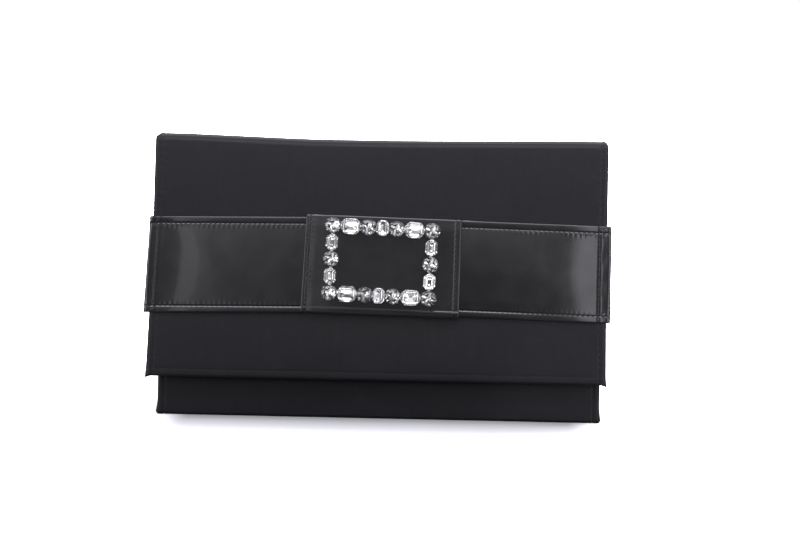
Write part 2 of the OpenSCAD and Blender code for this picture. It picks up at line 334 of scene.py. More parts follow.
def slab(name, stations, cross, place, relief, thick, material, side_roll, end_rolls=(0, 0),
         step=3 * mm, edges=EDGE):
    """A sheet with real thickness and rolled edges.

    stations  distances along it, one row of points each
    cross     cross(s) gives its lowest and highest place across
    place     place(s, c, n) gives the point at s along, c across and n outwards
    relief    relief(s, c, d, e) lifts the outer face; d and e are distances to its edges
    end_rolls widths of the rolls at its two ends; 0 is a flat cut
    """
    first, last = stations[0], stations[-1]
    start_roll, end_roll = end_rolls
    back_roll = 0.6 * thick
    margin = [f * mm for f in edges]
    widest = max(high - low for low, high in map(cross, stations))
    between = max(1, round((widest - 2 * margin[-1]) / step))
    verts, cloth = [], []
    for s in stations:
        low, high = cross(s)
        columns = columns_across(low, high, margin, between)
        from_start = (s - first) if start_roll else 1
        from_end = (last - s) if end_roll else 1
        ends = max(into_edge(from_start, start_roll), into_edge(from_end, end_roll))
        back_ends = max(into_edge(from_start, start_roll and back_roll),
                        into_edge(from_end, end_roll and back_roll))
        outer, under = [], []
        for c in columns:
            d = min(c - low, high - c)
            fall = drop_of_roll(max(into_edge(d, side_roll), ends))
            lift = relief(s, c, d, min(from_start, from_end))
            outer.append(place(s, c, lift * (1 - fall) - thick / 2 * fall))
            fall = drop_of_roll(max(into_edge(d, back_roll), back_ends))
            under.append(place(s, c, -thick + thick / 2 * fall))
        verts += outer + under[-2:0:-1]
        cloth += [(c, s) for c in columns + columns[-2:0:-1]]
    count, size = len(columns), 2 * len(columns) - 2
    faces = tube_quads(len(stations), size)
    flat = len(faces)
    for i, rolled in ((0, start_roll), (len(stations) - 1, end_roll)):
        for k in range(0 if rolled else count - 1):
            corners = (k, k + 1, size - k - 1, (size - k) % size)
            faces.append([i * size + corner for corner in dict.fromkeys(corners)])
    return finish_mesh(name, verts, faces, material, cloth, range(flat, len(faces)))


def thick_grid(name, grid, thick, material, cloth):
    """A sheet of even thickness round a grid of points, closed at its edges."""
    rows, columns = len(grid), len(grid[0])
    verts, flats, faces = [], [], []
    for side in (0.5, -0.5):
        for i in range(rows):
            for j in range(columns):
                along = grid[min(i + 1, rows - 1)][j] - grid[max(i - 1, 0)][j]
                across = grid[i][min(j + 1, columns - 1)] - grid[i][max(j - 1, 0)]
                verts.append(grid[i][j] + along.cross(across).normalized() * thick * side)
                flats.append(cloth(i, j))
    half = rows * columns
    for i in range(rows - 1):
        for j in range(columns - 1):
            a = i * columns + j
            quad = (a, a + 1, a + columns + 1, a + columns)
            faces.append(quad)
            faces.append(tuple(half + k for k in reversed(quad)))
    rim = list(range(columns))
    rim += [i * columns + columns - 1 for i in range(1, rows)]
    rim += [(rows - 1) * columns + j for j in range(columns - 2, -1, -1)]
    rim += [i * columns for i in range(rows - 2, 0, -1)]
    for a, b in zip(rim, rim[1:] + rim[:1]):
        faces.append((a, b, half + b, half + a))
    return finish_mesh(name, verts, faces, material, flats)


def lathe(name, outline, centre, axis, material, sides=64):
    """A turned piece: outline is (radius, height) pairs along the axis, a closed section."""
    up = axis.normalized()
    east = up.orthogonal().normalized()
    north = up.cross(east)
    verts, faces, cloth = [], [], []
    count = len(outline)
    for i in range(sides):
        angle = 2 * math.pi * i / sides
        ray = east * math.cos(angle) + north * math.sin(angle)
        for radius, height in outline:
            verts.append(centre + ray * radius + up * height)
            cloth.append((angle * radius, height))
    for i in range(sides):
        i2 = (i + 1) % sides
        for k in range(count):
            k2 = (k + 1) % count
            faces.append((i * count + k, i2 * count + k, i2 * count + k2, i * count + k2))
    return finish_mesh(name, verts, faces, material, cloth)


def stitches(name, rows, material, pitch=stitch_w, length=1.9 * mm, radius=0.2 * mm, seed=3):
    """Sewing thread: short capsules that dip into the cloth at both ends.

    Each row is (length, surface), where surface(t) gives a point and its outward normal.
    """
    sides, rings = 6, 6
    look_ahead = 0.1 * mm
    chance = random.Random(seed)
    parts, cloth = ([], []), []
    for total, surface in rows:
        for k in range(int(total / pitch)):
            middle = (k + 0.5) * pitch
            slant = chance.uniform(-0.04, 0.04) * mm
            tube = []
            for r in range(rings + 1):
                t = r / rings
                point, out = surface(middle + (t - 0.5) * length)
                ahead, _ = surface(middle + (t - 0.5) * length + look_ahead)
                side = (ahead - point).normalized().cross(out).normalized()
                rise = math.sin(math.pi * t)
                spine = point + out * (radius * (1.5 * rise - 1.1)) + side * slant * (2 * t - 1)
                thin = radius * (0.35 + 0.65 * math.sqrt(max(0, rise)))
                turns = [2 * math.pi * q / sides for q in range(sides)]
                tube.append([spine + (side * math.cos(turn) + out * math.sin(turn)) * thin
                             for turn in turns])
                cloth += [(middle + t * length, q * radius) for q in range(sides)]
            add_tube(parts, tube)
    return finish_mesh(name, *parts, material, cloth)


# ---------------------------------------------------------------- materials

class Nodes:
    """Short ways to add nodes to a tree and to link them."""

    def __init__(self, tree):
        self.tree = tree

    def put(self, socket, value):
        """Links a socket to an output, or sets it to a value."""
        if isinstance(value, bpy.types.NodeSocket):
            self.tree.links.new(value, socket)
        else:
            socket.default_value = value

    def add(self, kind, inputs=None, **settings):
        """A new node with its inputs linked or set."""
        node = self.tree.nodes.new(kind)
        for key, value in settings.items():
            setattr(node, key, value)
        for key, value in (inputs or {}).items():
            self.put(node.inputs[key], value)
        return node

    def math(self, operation, *values):
        """The result of a Math node."""
        return self.add("ShaderNodeMath", dict(enumerate(values)), operation=operation).outputs[0]

    def multiply(self, vector, by):
        """Two vectors or colours multiplied part by part."""
        return self.add("ShaderNodeVectorMath", {0: vector, 1: by}, operation="MULTIPLY").outputs[0]

    def split(self, vector):
        """The X, Y and Z of a vector."""
        return self.add("ShaderNodeSeparateXYZ", {0: vector}).outputs

    def gradient(self, fac, stops):
        """A colour ramp through (position, grey, blue tint) stops."""
        ramp = self.add("ShaderNodeValToRGB", {"Fac": fac})
        elements = ramp.color_ramp.elements
        while len(elements) < len(stops):
            elements.new(0.5)
        for element, (position, grey, tint) in zip(elements, stops):
            element.position = position
            element.color = (grey, grey, grey * tint, 1)
        return ramp.outputs["Color"]

    def noise(self, vector, scale, detail=2.0):
        """Smooth noise, from 0 to 1."""
        return self.add("ShaderNodeTexNoise", {"Vector": vector, "Scale": scale, "Detail": detail,
                                               "Roughness": 0.5}).outputs["Fac"]

    def ramp(self, fac, low, high, a=0.0, b=1.0):
        """fac from a..b turned into low..high, numbers or colours."""
        node = self.add("ShaderNodeValToRGB", {"Fac": fac})
        for stop, position, value in zip(node.color_ramp.elements, (a, b), (low, high)):
            stop.position = position
            stop.color = (*value, 1) if isinstance(value, tuple) else (value, value, value, 1)
        return node.outputs["Color"]


class Material(Nodes):
    """A new material with a Principled shader."""

    def __init__(self, name):
        self.material = bpy.data.materials.new(name)
        self.material.use_nodes = True
        super().__init__(self.material.node_tree)
        self.shader = self.tree.nodes["Principled BSDF"]

    def set(self, **values):
        """Sets or links the shader's sockets; a name's underscores stand for spaces."""
        for key, value in values.items():
            self.put(self.shader.inputs[key.replace("_", " ")], value)

    def cloth(self, scale=(1, 1, 1)):
        """Place on the flat cloth, in metres, scaled."""
        source = self.add("ShaderNodeAttribute", attribute_name="cloth").outputs["Vector"]
        return self.add("ShaderNodeMapping", {"Vector": source, "Scale": scale}).outputs[0]

    def object_place(self):
        """Place in the object's own frame, in metres."""
        return self.add("ShaderNodeTexCoord").outputs["Object"]

    def bump(self, height, strength, distance):
        """A normal tilted by a height, for the shader."""
        return self.add("ShaderNodeBump", {"Height": height, "Strength": strength,
                                           "Distance": distance}).outputs["Normal"]


def woven(name, dark, light, rough, sheen, thread, bump):
    """Fine satin weave: warp threads with staggered weft crossings."""
    m = Material(name)
    x, y, _ = m.split(m.cloth((1 / thread, 1 / thread, 1)))
    warp = m.math("ABSOLUTE", m.math("SINE", m.math("MULTIPLY", x, math.pi)))
    step = m.math("MULTIPLY", m.math("FLOOR", x), 0.4)
    weft = m.math("SINE", m.math("MULTIPLY", m.math("ADD", y, step), 2 * math.pi / 5))
    weft = m.math("POWER", m.math("ABSOLUTE", weft), 6.0)
    weave = m.math("SUBTRACT", warp, m.math("MULTIPLY", weft, 0.7))
    cloud = m.noise(m.cloth(), 38.0, 3.0)
    slub = m.noise(m.cloth((400, 40, 1)), 1.0, 2.0)
    tone = m.math("ADD", m.math("MULTIPLY", cloud, 0.6), m.math("MULTIPLY", slub, 0.4))
    m.set(Base_Color=m.ramp(tone, dark, light, 0.3, 0.7),
          Roughness=m.ramp(m.math("ADD", m.math("MULTIPLY", weave, 0.2), cloud),
                           rough - 0.05, rough + 0.05, 0.2, 1.0),
          Normal=m.bump(m.math("ADD", weave, m.math("MULTIPLY", slub, 0.8)), bump, thread * 0.25),
          Sheen_Weight=sheen, Sheen_Roughness=0.35, Sheen_Tint=(0.75, 0.76, 0.82, 1),
          Specular_IOR_Level=0.34)
    return m.material


def patent(name):
    """Black lacquered leather: glossy coat over a faint grain, duller in patches."""
    m = Material(name)
    grain = m.noise(m.cloth(), 700.0, 3.0)
    wave = m.noise(m.cloth(), 45.0, 2.0)
    relief = m.math("ADD", m.math("MULTIPLY", wave, 6.0), m.math("MULTIPLY", grain, 0.25))
    m.set(Base_Color=m.ramp(wave, (0.006, 0.006, 0.0065), (0.011, 0.011, 0.012), 0.3, 0.7),
          Roughness=m.ramp(m.noise(m.cloth(), 90.0, 3.0), 0.15, 0.22, 0.3, 0.75),
          Normal=m.bump(relief, 0.5, 0.06 * mm),
          Specular_IOR_Level=0.45, Coat_Weight=0.5, Coat_Roughness=0.05, Coat_IOR=1.45)
    return m.material


def metal(name, colour, rough, scratch):
    """Plated metal with fine wear in its roughness."""
    m = Material(name)
    fine = m.noise(m.object_place(), 900.0, 4.0)
    wear = m.noise(m.object_place(), 120.0, 3.0)
    dark = tuple(c * 0.85 for c in colour)
    m.set(Base_Color=m.ramp(wear, dark, colour, 0.3, 0.7),
          Roughness=m.ramp(fine, rough * 0.7, rough * 1.4, 0.3, 0.7),
          Normal=m.bump(fine, scratch, 0.02 * mm), Metallic=1.0)
    return m.material


def ferrite(name):
    """Dark sintered magnet, matt and slightly pitted."""
    m = Material(name)
    pits = m.noise(m.object_place(), 2500.0, 4.0)
    m.set(Base_Color=m.ramp(pits, (0.03, 0.03, 0.032), (0.06, 0.06, 0.062)),
          Roughness=m.ramp(pits, 0.55, 0.75), Normal=m.bump(pits, 0.4, 0.05 * mm))
    return m.material


def crystal(name):
    """Clear cut glass for the faces in front."""
    m = Material(name)
    tint = m.noise(m.object_place(), 160.0, 2.0)
    m.set(Base_Color=m.ramp(tint, (0.93, 0.96, 1.0), (1.0, 0.99, 0.97), 0.3, 0.7),
          Roughness=m.ramp(m.noise(m.object_place(), 500.0), 0.0, 0.015),
          Transmission_Weight=1.0, IOR=1.6)
    return m.material


def foil(name, grey):
    """Foil behind a facet, in a grey that paints its reflection; with painted fire, faint colours
    like those cut glass throws.
    """
    m = Material(name)
    place = m.object_place()
    # Painted fire: faint spots of colour, like the colours cut glass splits light into
    painted_fire = m.add("ShaderNodeTexVoronoi", {"Vector": place, "Scale": 900.0}).outputs["Color"]
    warm = (grey, grey * 0.985, grey * 0.95, 1)
    pale = m.add("ShaderNodeMix", {"Factor": 0.88, "A": m.multiply(painted_fire, (grey, grey, grey)),
                                   "B": warm}, data_type="RGBA")
    m.set(Base_Color=pale.outputs["Result"], Metallic=1.0,
          Roughness=m.ramp(m.noise(place, 700.0), 0.02, 0.08))
    return m.material


def thread(name):
    """Black polyester thread with its twist."""
    m = Material(name)
    x, y, _ = m.split(m.cloth((9000.0, 9000.0, 1)))
    twist = m.math("SINE", m.math("ADD", x, y))
    m.set(Base_Color=m.ramp(twist, (0.01, 0.01, 0.011), (0.03, 0.03, 0.032)),
          Roughness=m.ramp(twist, 0.6, 0.4), Normal=m.bump(twist, 0.5, 0.05 * mm))
    return m.material


SATIN = woven("black satin", (0.0064, 0.006, 0.0082), (0.0095, 0.009, 0.0118), 0.46, 0.042,
              0.28 * mm, 0.35)
LINING = woven("black lining", (0.012, 0.012, 0.014), (0.019, 0.019, 0.022), 0.55, 0.06,
               0.22 * mm, 0.25)
PATENT = patent("black patent")
SILVER = metal("plated settings", (0.86, 0.86, 0.88), 0.16, 0.15)
NICKEL = metal("nickel steel", (0.68, 0.67, 0.65), 0.24, 0.3)
FERRITE = ferrite("ferrite")
CRYSTAL = crystal("crystal")
# Foils of three greys that paint each facet's reflection bright, grey or dark
PAINTED_SPARKLE_FOILS = [foil("foil, painted bright reflection", 0.76), foil("foil, painted grey reflection", 0.38), foil("foil, painted dark reflection", 0.12)]
THREAD = thread("black thread")


# ---------------------------------------------------------------- satin panels

satin_t = flap_out - 0.3 * mm     # the flap's satin, foam and board together
wall_t = 2.3 * mm                 # the same for a wall of the body
seam_in = 3.6 * mm                # a side seam's distance from the edge
hem_in = 4.0 * mm                 # the hem's line, from the edge
pucker_w = 3.4 * mm               # from one pucker of a seam to the next
foam_wave = 45 * mm               # the width of the foam's unevenness


def seam_relief(c, s, d, depth, puckers):
    """The rolled edge outside a side seam, the seam's groove and the small puckers beside it."""
    wave = math.sin(2 * math.pi * s / pucker_w + 4 * waver(c, s, 30 * mm, 2))
    rolled = depth * math.sin(math.pi * min(1, d / seam_in))
    return (rolled - depth * bell(d - seam_in, 0.4 * mm)
            + puckers * wave * bell(d - seam_in, 1.8 * mm))


def satin_relief(s, c, d, e):
    """Foam under satin: soft unevenness, side seams and the line of the hem."""
    soft = 0.12 * mm * waver(c, s, foam_wave) * smooth((d - 4 * mm) / (10 * mm))
    hem = -0.07 * mm * bell(e - hem_in, 0.5 * mm)
    return soft + seam_relief(c, s, d, 0.3 * mm, 0.05 * mm) + hem


def flat_relief(s, c, d, e):
    """Satin in a fold or on the body: side seams only."""
    return seam_relief(c, s, d, 0.14 * mm, 0.02 * mm)


def bag_place(profile):
    """Places a point of a cross-section line across the whole bag."""
    def place(s, c, n):
        point, out = profile.at(s)
        return settle(Vector((c, point.x + out.x * n, point.y + out.y * n)))
    return place


HEM = (0, 0.05, 0.2, 0.45, 0.8, 1.2, 1.7, 2.2, 2.7, 3.1, 3.5, 3.8, 4.1, 4.5, 5)


def rows_of(profile, step, start=(), end=()):
    """Stations along a profile, with finer ones at the ends that roll, in millimetres."""
    values = profile.stations(step)
    values = [v for v in values if not (start and v < start[-1] * mm)]
    values = [v for v in values if not (end and v > profile.length - end[-1] * mm)]
    values += [f * mm for f in start] + [profile.length - f * mm for f in end]
    return sorted_unique(values)


tip_w = 1.6 * mm         # the seam allowance's tip at a lower corner


def side_tip(cross, s, c):
    """1 on a panel's side edges and almost nothing three tip widths in from them."""
    low, high = cross(s)
    return bell(min(c - low, high - c), tip_w)


# The flap: from the middle of the spine over the front fold and down to its hem
fold_r = 3.6 * mm
drawn_in = 1.5 * mm      # the panel's top lies this far inside the CAD's
curved = 34 * mm         # and curves out over this length
curve_r = curved * 10
flap_trim = 0.5 * mm     # at the fold the satin is this much narrower than the CAD's
hem_left = 3.0 * mm      # and at the hem this much wider than at the fold
hem_right = 0.9 * mm
tip_down = 0.9 * mm      # its corners' tips reach this far down
tip_out = 0.35 * mm      # and out
flap_line = Profile([(spine_mid, top_z), flap.meet(flap_out - drawn_in, top_z),
                     flap.corner(curved / 2, flap_out),
                     flap.corner(flap_high.y + 0.5 * mm, flap_out)], [fold_r, curve_r])
flap_end = flap_line.length


def flap_cross(s):
    """The flap widens a little towards its hem, more on the left."""
    down = s / flap_end
    wide = flap_half - flap_trim
    return -(wide + hem_left * down ** 2), wide + hem_right * down ** 2


def flap_place(s, c, n):
    """On the flap, with the seam allowance's small tip at each lower corner."""
    point = bag_place(flap_line)(s, c, n)
    tip = side_tip(flap_cross, s, c) * smooth(1 - (flap_end - s) / (5 * mm))
    return point + (flap.down * tip_down + RIGHT * math.copysign(tip_out, c)) * tip


satin_flap = slab("satin_flap", rows_of(flap_line, 3 * mm, end=HEM), flap_cross, flap_place,
                  satin_relief, satin_t, SATIN, 2.8 * mm, (0, 1.4 * mm))

# The back: from the middle of the base up the back and over to the middle of the spine
back_line = Profile([(base_mid, 0), (back_y, 0), (back_y, top_z), (spine_mid, top_z)],
                    [2.2 * mm, 3.0 * mm])


spread_over = 24 * mm    # it widens over this length
spread_end = 10 * mm     # and is done this far from its end


def back_cross(s):
    """As wide as the body, and spreading to the flap's width over the top."""
    spread_out = smooth((s - (back_line.length - spread_end - spread_over)) / spread_over)
    low, high = flap_cross(0)
    return (-body_half + (low + body_half) * spread_out,
            body_half + (high - body_half) * spread_out)


satin_back = slab("satin_back", rows_of(back_line, 3 * mm), back_cross, bag_place(back_line),
                  flat_relief, wall_t, SATIN, 2.2 * mm)

# The front: from the hem at the mouth down to the foot and under to the middle of the base
front_line = Profile([front.corner(front_low.y, 0), front.meet(0, 0), (base_mid, 0)], [1.5 * mm])
front_left = 0.4 * mm    # the front stands this far past the body's sides
front_right = 1.15 * mm
front_tip = 0.8 * mm     # its lower corners reach this much farther


def front_cross(s):
    """The front is as wide all the way down."""
    return -body_half - front_left, body_half + front_right


def front_place(s, c, n):
    """On the front, with a small tip at each lower corner."""
    point = bag_place(front_line)(s, c, n)
    foot = front_line.parts[1][0]
    tip = side_tip(front_cross, s, c) * bell(s - foot, 3 * mm)
    return point + RIGHT * math.copysign(front_tip, c) * tip


satin_front = slab("satin_front", rows_of(front_line, 3 * mm, start=HEM), front_cross,
                   front_place, satin_relief, wall_t, SATIN, 1.5 * mm, (1.4 * mm, 0))


# ---------------------------------------------------------------- linings

lining_t = 0.45 * mm
lining_in = 4.5 * mm   # a lining stops this far inside the satin's edge


def lining_relief(s, c, d, e):
    """A turned lining: a stitched line close to its edge."""
    return -0.12 * mm * (bell(d - 1.6 * mm, 0.3 * mm) + bell(e - 1.6 * mm, 0.3 * mm))


def lining(name, line, half, start=(), end=()):
    """A thin lining along a line, facing the inside, with a turned edge at a hemmed end."""
    def place(s, c, n):
        return bag_place(line)(s, c, -n)
    turned_in = 0.4 * mm
    return slab(name, rows_of(line, 4 * mm, start, end), lambda s: (-half, half), place,
                lining_relief, lining_t, LINING, turned_in,
                (turned_in if start else 0, turned_in if end else 0), step=5 * mm)


flap_lining_half = flap_half - lining_in
body_lining_half = body_half - lining_in
flap_lining_line = Profile([(spine_mid, hinge_z), flap.meet(-drawn_in, hinge_z),
                            flap.corner(curved / 2, 0),
                            flap.corner(flap_high.y - lining_in, 0)], [3.5 * mm, curve_r])
back_lining_line = Profile([(base_box[0].y + 0.6 * mm, lining_z), (lining_y, lining_z),
                            (lining_y, hinge_z), (spine_mid, hinge_z)], [2 * mm, 1.5 * mm])
front_lining_line = Profile([front.corner(front_low.y + lining_in, front_in),
                             front.corner(-1.5 * mm, front_in)], [])
lining_flap = lining("lining_flap", flap_lining_line, flap_lining_half, end=HEM)
lining_back = lining("lining_back", back_lining_line, body_lining_half)
lining_front = lining("lining_front", front_lining_line, body_lining_half, start=HEM)


# ---------------------------------------------------------------- side folds

fold_low, fold_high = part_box("gusset_right_rear")
fold_t = 0.7 * mm
sewn_in = 0.4 * mm     # its sides are sewn this far inside the body's
tucked = 0.1 * mm      # and this far into the linings
panel = 12             # points across each half of the fold


def side_fold(name, side):
    """One folded sheet from the back wall to the front wall, creased towards the inside.

    Returns the piece and its widest and mean width, laid flat.
    """
    crease_low, crease_high = fold_high.x - 2 * mm, fold_low.x + 0.8 * mm
    bottom, top = fold_low.z - 0.2 * mm, fold_high.z
    grid = []
    for z in spread(bottom, top, 3 * mm):
        t = (z - bottom) / (top - bottom)
        wall_y = front.meet(front_in, z)[0] + tucked
        rear = Vector((fold_high.x - sewn_in, lining_y - tucked, z))
        ahead = Vector((fold_high.x - sewn_in, wall_y, z))
        crease = Vector((crease_low + (crease_high - crease_low) * t, (rear.y + wall_y) / 2, z))
        row = [rear.lerp(crease, i / panel) for i in range(panel)]
        row += [crease.lerp(ahead, i / panel) for i in range(panel + 1)]
        for k, p in enumerate(row):
            puff = math.sin(math.pi * (k % panel) / panel) * (0.4 + 0.5 * t) * mm
            row[k] = p + RIGHT * puff
        for _ in range(2):
            softer = [(a + b * 2 + c) / 4 for a, b, c in zip(row, row[1:], row[2:])]
            row = [row[0], *softer, row[-1]]
        grid.append([Vector((p.x * side, p.y, p.z)) for p in row])
    widths = [sum((b - a).length for a, b in zip(row, row[1:])) for row in grid]
    return (thick_grid(name, grid, fold_t, SATIN, lambda i, j: (j * 1.1 * mm, i * 3 * mm)),
            max(widths), sum(widths) / len(widths))


gusset_left, *_ = side_fold("side_fold_left", -1)
gusset_right, fold_widest, fold_mean = side_fold("side_fold_right", 1)


# ---------------------------------------------------------------- slip pocket

pocket_low, pocket_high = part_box("slip_pocket")
pocket_line = Profile([(pocket_low.y, pocket_high.z), (pocket_low.y, pocket_low.z)], [])


def pocket_place(s, c, n):
    """On the pocket: it lies close at its sides and foot, and stands off at its mouth."""
    half = (pocket_high.x - pocket_low.x) / 2
    mouth = 1 - s / pocket_line.length
    off = smooth((half - abs(c)) / (18 * mm)) * (0.25 + 0.75 * mouth) * mm
    return Vector((c, lining_y - 0.55 * mm - off - n, pocket_high.z - s))


def pocket_relief(s, c, d, e):
    """The stitched line of the mouth's hem, and one beside each edge."""
    return (-0.1 * mm * bell(s - 9 * mm, 0.3 * mm)
            - 0.08 * mm * bell(d - 1.6 * mm, 0.3 * mm))


pocket = slab("slip_pocket_cloth", rows_of(pocket_line, 3 * mm, start=HEM, end=HEM),
              lambda s: (pocket_low.x, pocket_high.x), pocket_place, pocket_relief, 0.5 * mm,
              LINING, 0.4 * mm, (0.4 * mm, 0.4 * mm))


# ---------------------------------------------------------------- patent band

band_mid = (band_low.y + band_high.y) / 2
band_grow = 0.75 * mm    # the soft band is this much taller than the CAD's, above and below
band_half = (band_high.y - band_low.y) / 2 + band_grow
band_x = band_high.x
band_out = band_high.z
band_in = band_low.z
turned = band_x - 16 * mm    # its ends turn in behind the flap as far as here
band_t = 0.8 * mm
hem_w = 3.6 * mm         # width of the band's folded hems
left_strip = 5.4 * mm    # the stitched strips at the ends of the band's face
right_strip = 6.4 * mm
left_drop = 1.7 * mm     # the band's left end hangs this far below its middle
right_drop = 2.6 * mm
keeper_mid = (keeper_low.x + keeper_high.x) / 2
keeper_half = (keeper_high.x - keeper_low.x) / 2
band_line = Profile([(-turned, band_in), (-band_x, band_in), (-band_x, band_out),
                     (band_x, band_out), (band_x, band_in), (turned, band_in)],
                    [0.9 * mm, 2.5 * mm, 2.3 * mm, 0.9 * mm], side=-1)

# Where the face starts to bend back: at its middle height, how much farther out at its upper
# and at its lower edge, and how much that line leans
BEND_LEFT = (88 * mm, 8.0 * mm, 6.6 * mm, 0.0)
BEND_RIGHT = (89 * mm, 4.0 * mm, 8.0 * mm, 1.5 * mm)
bend_run = 29 * mm       # over this length it falls back
bend_deep = 1.45 * mm    # by this much
end_out = 0.95 * mm      # the left end stands out this far at its middle height
end_lean = 1.3 * mm      # and leans by this much up its height
end_run = 60 * mm        # over this length from halfway out
field_half = band_half - hem_w


def band_drop(x):
    """How far the band has dropped at x, from its middle."""
    return (left_drop if x < 0 else right_drop) * abs(x) / band_x


def band_bend(x, c):
    """How far the band's face falls back towards its ends, unevenly up its height."""
    middle, above, below, lean = BEND_LEFT if x < 0 else BEND_RIGHT
    up = c / band_half
    start = middle + (above if up > 0 else below) * up ** 2 + lean * up
    return bend_deep * (max(0.0, abs(x) - start) / bend_run) ** 2


def band_place(s, c, n):
    """s along the band from one turned end round the front to the other, c up its height."""
    point, out = band_line.at(s)
    on_face = max(0.0, min(1.0, point.y / band_out))
    x, height = point.x + out.x * n, point.y + out.y * n - band_bend(point.x, c) * on_face
    x -= (end_out - end_lean * c / band_half) * smooth((-x - end_run) / end_run)
    return flap.at(x, band_mid + band_drop(x) - c, height)


def between_stitches(along):
    """0 at a stitch and 1 halfway to the next."""
    return 0.5 - 0.5 * math.cos(2 * math.pi * along / stitch_w)


def pucker(x, seed):
    """Gathers along a stitched line, uneven from stitch to stitch."""
    return (0.55 + 0.6 * waver(x, seed, 14 * mm, seed)) * between_stitches(x)


def stitch_pull(along):
    """How far the leather is drawn down along a stitched line, in waves a stitch long."""
    return 0.25 + 0.75 * between_stitches(along) ** 0.7


def beside_line(u, width):
    """1 just inside a stitched line, u from it, and almost nothing three widths away."""
    return smooth(u / (0.5 * mm)) * bell(u - 0.8 * mm, width)


def folded_hem(u, width, height):
    """A folded hem, u down from its upper line: it rises fast and falls away slowly."""
    crest = 0.28 * width
    if not 0 < u < width:
        return 0.0
    if u < crest:
        return height * math.sin(u / crest * math.pi / 2)
    left = 1 - (u - crest) / (width - crest)
    return height * (0.5 + 0.5 * math.sin(left * math.pi / 2))


step_above = 0.12 * mm   # the field stands this far over the hem's stitched line
step_below = 0.03 * mm


def band_hem(x, d, upper):
    """A folded hem, flatter towards the band's ends."""
    if upper:
        flatter = 0.35 * smooth((x - 60 * mm) / (35 * mm))
        return folded_hem(d, hem_w, 0.33 * mm * (1 - flatter))
    flatter = (0.5 if x > 0 else 0.2) * smooth((abs(x) - 45 * mm) / (48 * mm))
    return folded_hem(hem_w - d, hem_w, 0.41 * mm * (1 - flatter))


def band_field(x, inside, upper, to_right):
    """The padded field, inside its stitched line: fuller above and on the right."""
    fuller = to_right * (1 - 0.8 * smooth((x - 68 * mm) / (30 * mm)))
    above = (0.30 + 0.69 * fuller) * mm
    below = (0.10 + 0.72 * fuller) * mm
    near = smooth(inside / (0.8 * mm))
    swell = 1 - math.exp(-inside / ((6 + 3 * to_right) * mm))
    if upper:
        return step_above * near + above * swell
    to_meet = step_above + above - step_below - below
    return step_below * near + below * swell + to_meet * smooth(inside / field_half)


def band_ends(x, c):
    """The stitched lines across the band's ends and the crumpled strips beyond them."""
    edge = band_x - abs(x) - (left_strip if x < 0 else right_strip)
    return (-0.24 * mm * bell(edge, 0.4 * mm) * stitch_pull(c)
            + 0.12 * mm * pucker(c, 31) * bell(edge + 1.6 * mm, 1.4 * mm)
            + 0.08 * mm * pucker(c, 41) * bell(edge - 1.2 * mm, 1.2 * mm)
            + 0.10 * mm * waver(x, c, 7 * mm, 7) * smooth(-edge / (2 * mm)))


def band_relief(s, c, d, e):
    """Rolled hems, stitched lines with puckers, and the soft field between them."""
    point, out = band_line.at(s)
    x = point.x
    if out.y < 0.7:
        return 0.12 * mm * waver(s, c, 6 * mm, 5)
    upper = c > 0
    inside = max(0.0, d - hem_w)
    to_right = smooth((x + 20 * mm) / (40 * mm))
    groove = -0.17 * mm * bell(d - hem_w, 0.35 * mm) * stitch_pull(x)
    gather = (0.15 if upper else 0.075) * mm * pucker(x, 11 if upper else 23)
    gather *= beside_line(inside, 1.5 * mm)
    soft = (0.10 - 0.04 * to_right) * mm * waver(x, c, 60 * mm, 9)
    soft += (0.04 - 0.015 * to_right) * mm * waver(x, c, 13 * mm, 19)
    crown = (0.35 - 0.25 * to_right) * mm * max(0.0, 1 - (c / field_half) ** 2)
    held = -0.4 * mm * (1 - smooth((x - keeper_mid - keeper_half) / (14 * mm))) * to_right
    return (band_hem(x, d, upper) + groove + band_field(x, inside, upper, to_right) + gather
            + band_ends(x, c) + soft + crown + held)


held_in = 0.9 * mm       # the keeper draws the band's edges in by this much


def band_cross(s):
    """The band is held a little narrower under the keeper."""
    point, out = band_line.at(s)
    held = smooth((keeper_half + 1 * mm - abs(point.x - keeper_mid)) / (3 * mm))
    half = band_half - held_in * held * (out.y > 0.9)
    return -half, half


BAND_EDGE = (0, 0.05, 0.15, 0.35, 0.65, 1.05, 1.5, 2.0, 2.5, 2.9, 3.2, 3.45, 3.7, 3.9, 4.1, 4.35,
             4.6, 4.9, 5.3, 5.8, 6.4, 7.2, 8.2, 9.5, 11)
band_rows = sorted_unique(band_line.stations(0.55 * mm, 0.25 * mm), 0.05 * mm)
band = slab("patent_band", band_rows, band_cross, band_place, band_relief, band_t, PATENT,
            0.55 * mm, (0.4 * mm, 0.4 * mm), step=1.6 * mm, edges=BAND_EDGE)


# ---------------------------------------------------------------- keeper

keeper_turn = math.radians(1.1)    # it sits a little turned
keeper_drop = 0.37 * mm  # the soft keeper sits this far below the CAD's
keeper_grow = 0.48 * mm  # and is this much taller, above and below
keeper_v = (keeper_low.y + keeper_high.y) / 2 + keeper_drop
keeper_out = keeper_high.z
keeper_h = (keeper_high.y - keeper_low.y) / 2 + keeper_grow
keeper_foot = flap_out + 0.1 * mm
keeper_line = Profile([(-keeper_h, keeper_foot), (-keeper_h, keeper_out),
                       (keeper_h, keeper_out), (keeper_h, keeper_foot)],
                      [1.3 * mm, 0.9 * mm], side=-1)
keeper_t = 0.9 * mm
left_hem = 2.2 * mm      # the keeper's folded sides
right_hem = 2.9 * mm
foot_hem = 3.8 * mm      # and its foot


def keeper_cross(s):
    """The keeper is a little wider than the CAD's and narrows upwards, mostly on the left."""
    down = keeper_line.at(s)[0].x / keeper_h
    return -keeper_half - (1.12 + 0.7 * down) * mm, keeper_half + (0.7 + 0.2 * down) * mm


def keeper_place(s, c, n):
    """s down the keeper's outline, c across it."""
    point, out = keeper_line.at(s)
    down, height = point.x + out.x * n, point.y + out.y * n
    cos, sin = math.cos(keeper_turn), math.sin(keeper_turn)
    return flap.at(keeper_mid + c * cos - down * sin, keeper_v + c * sin + down * cos, height)


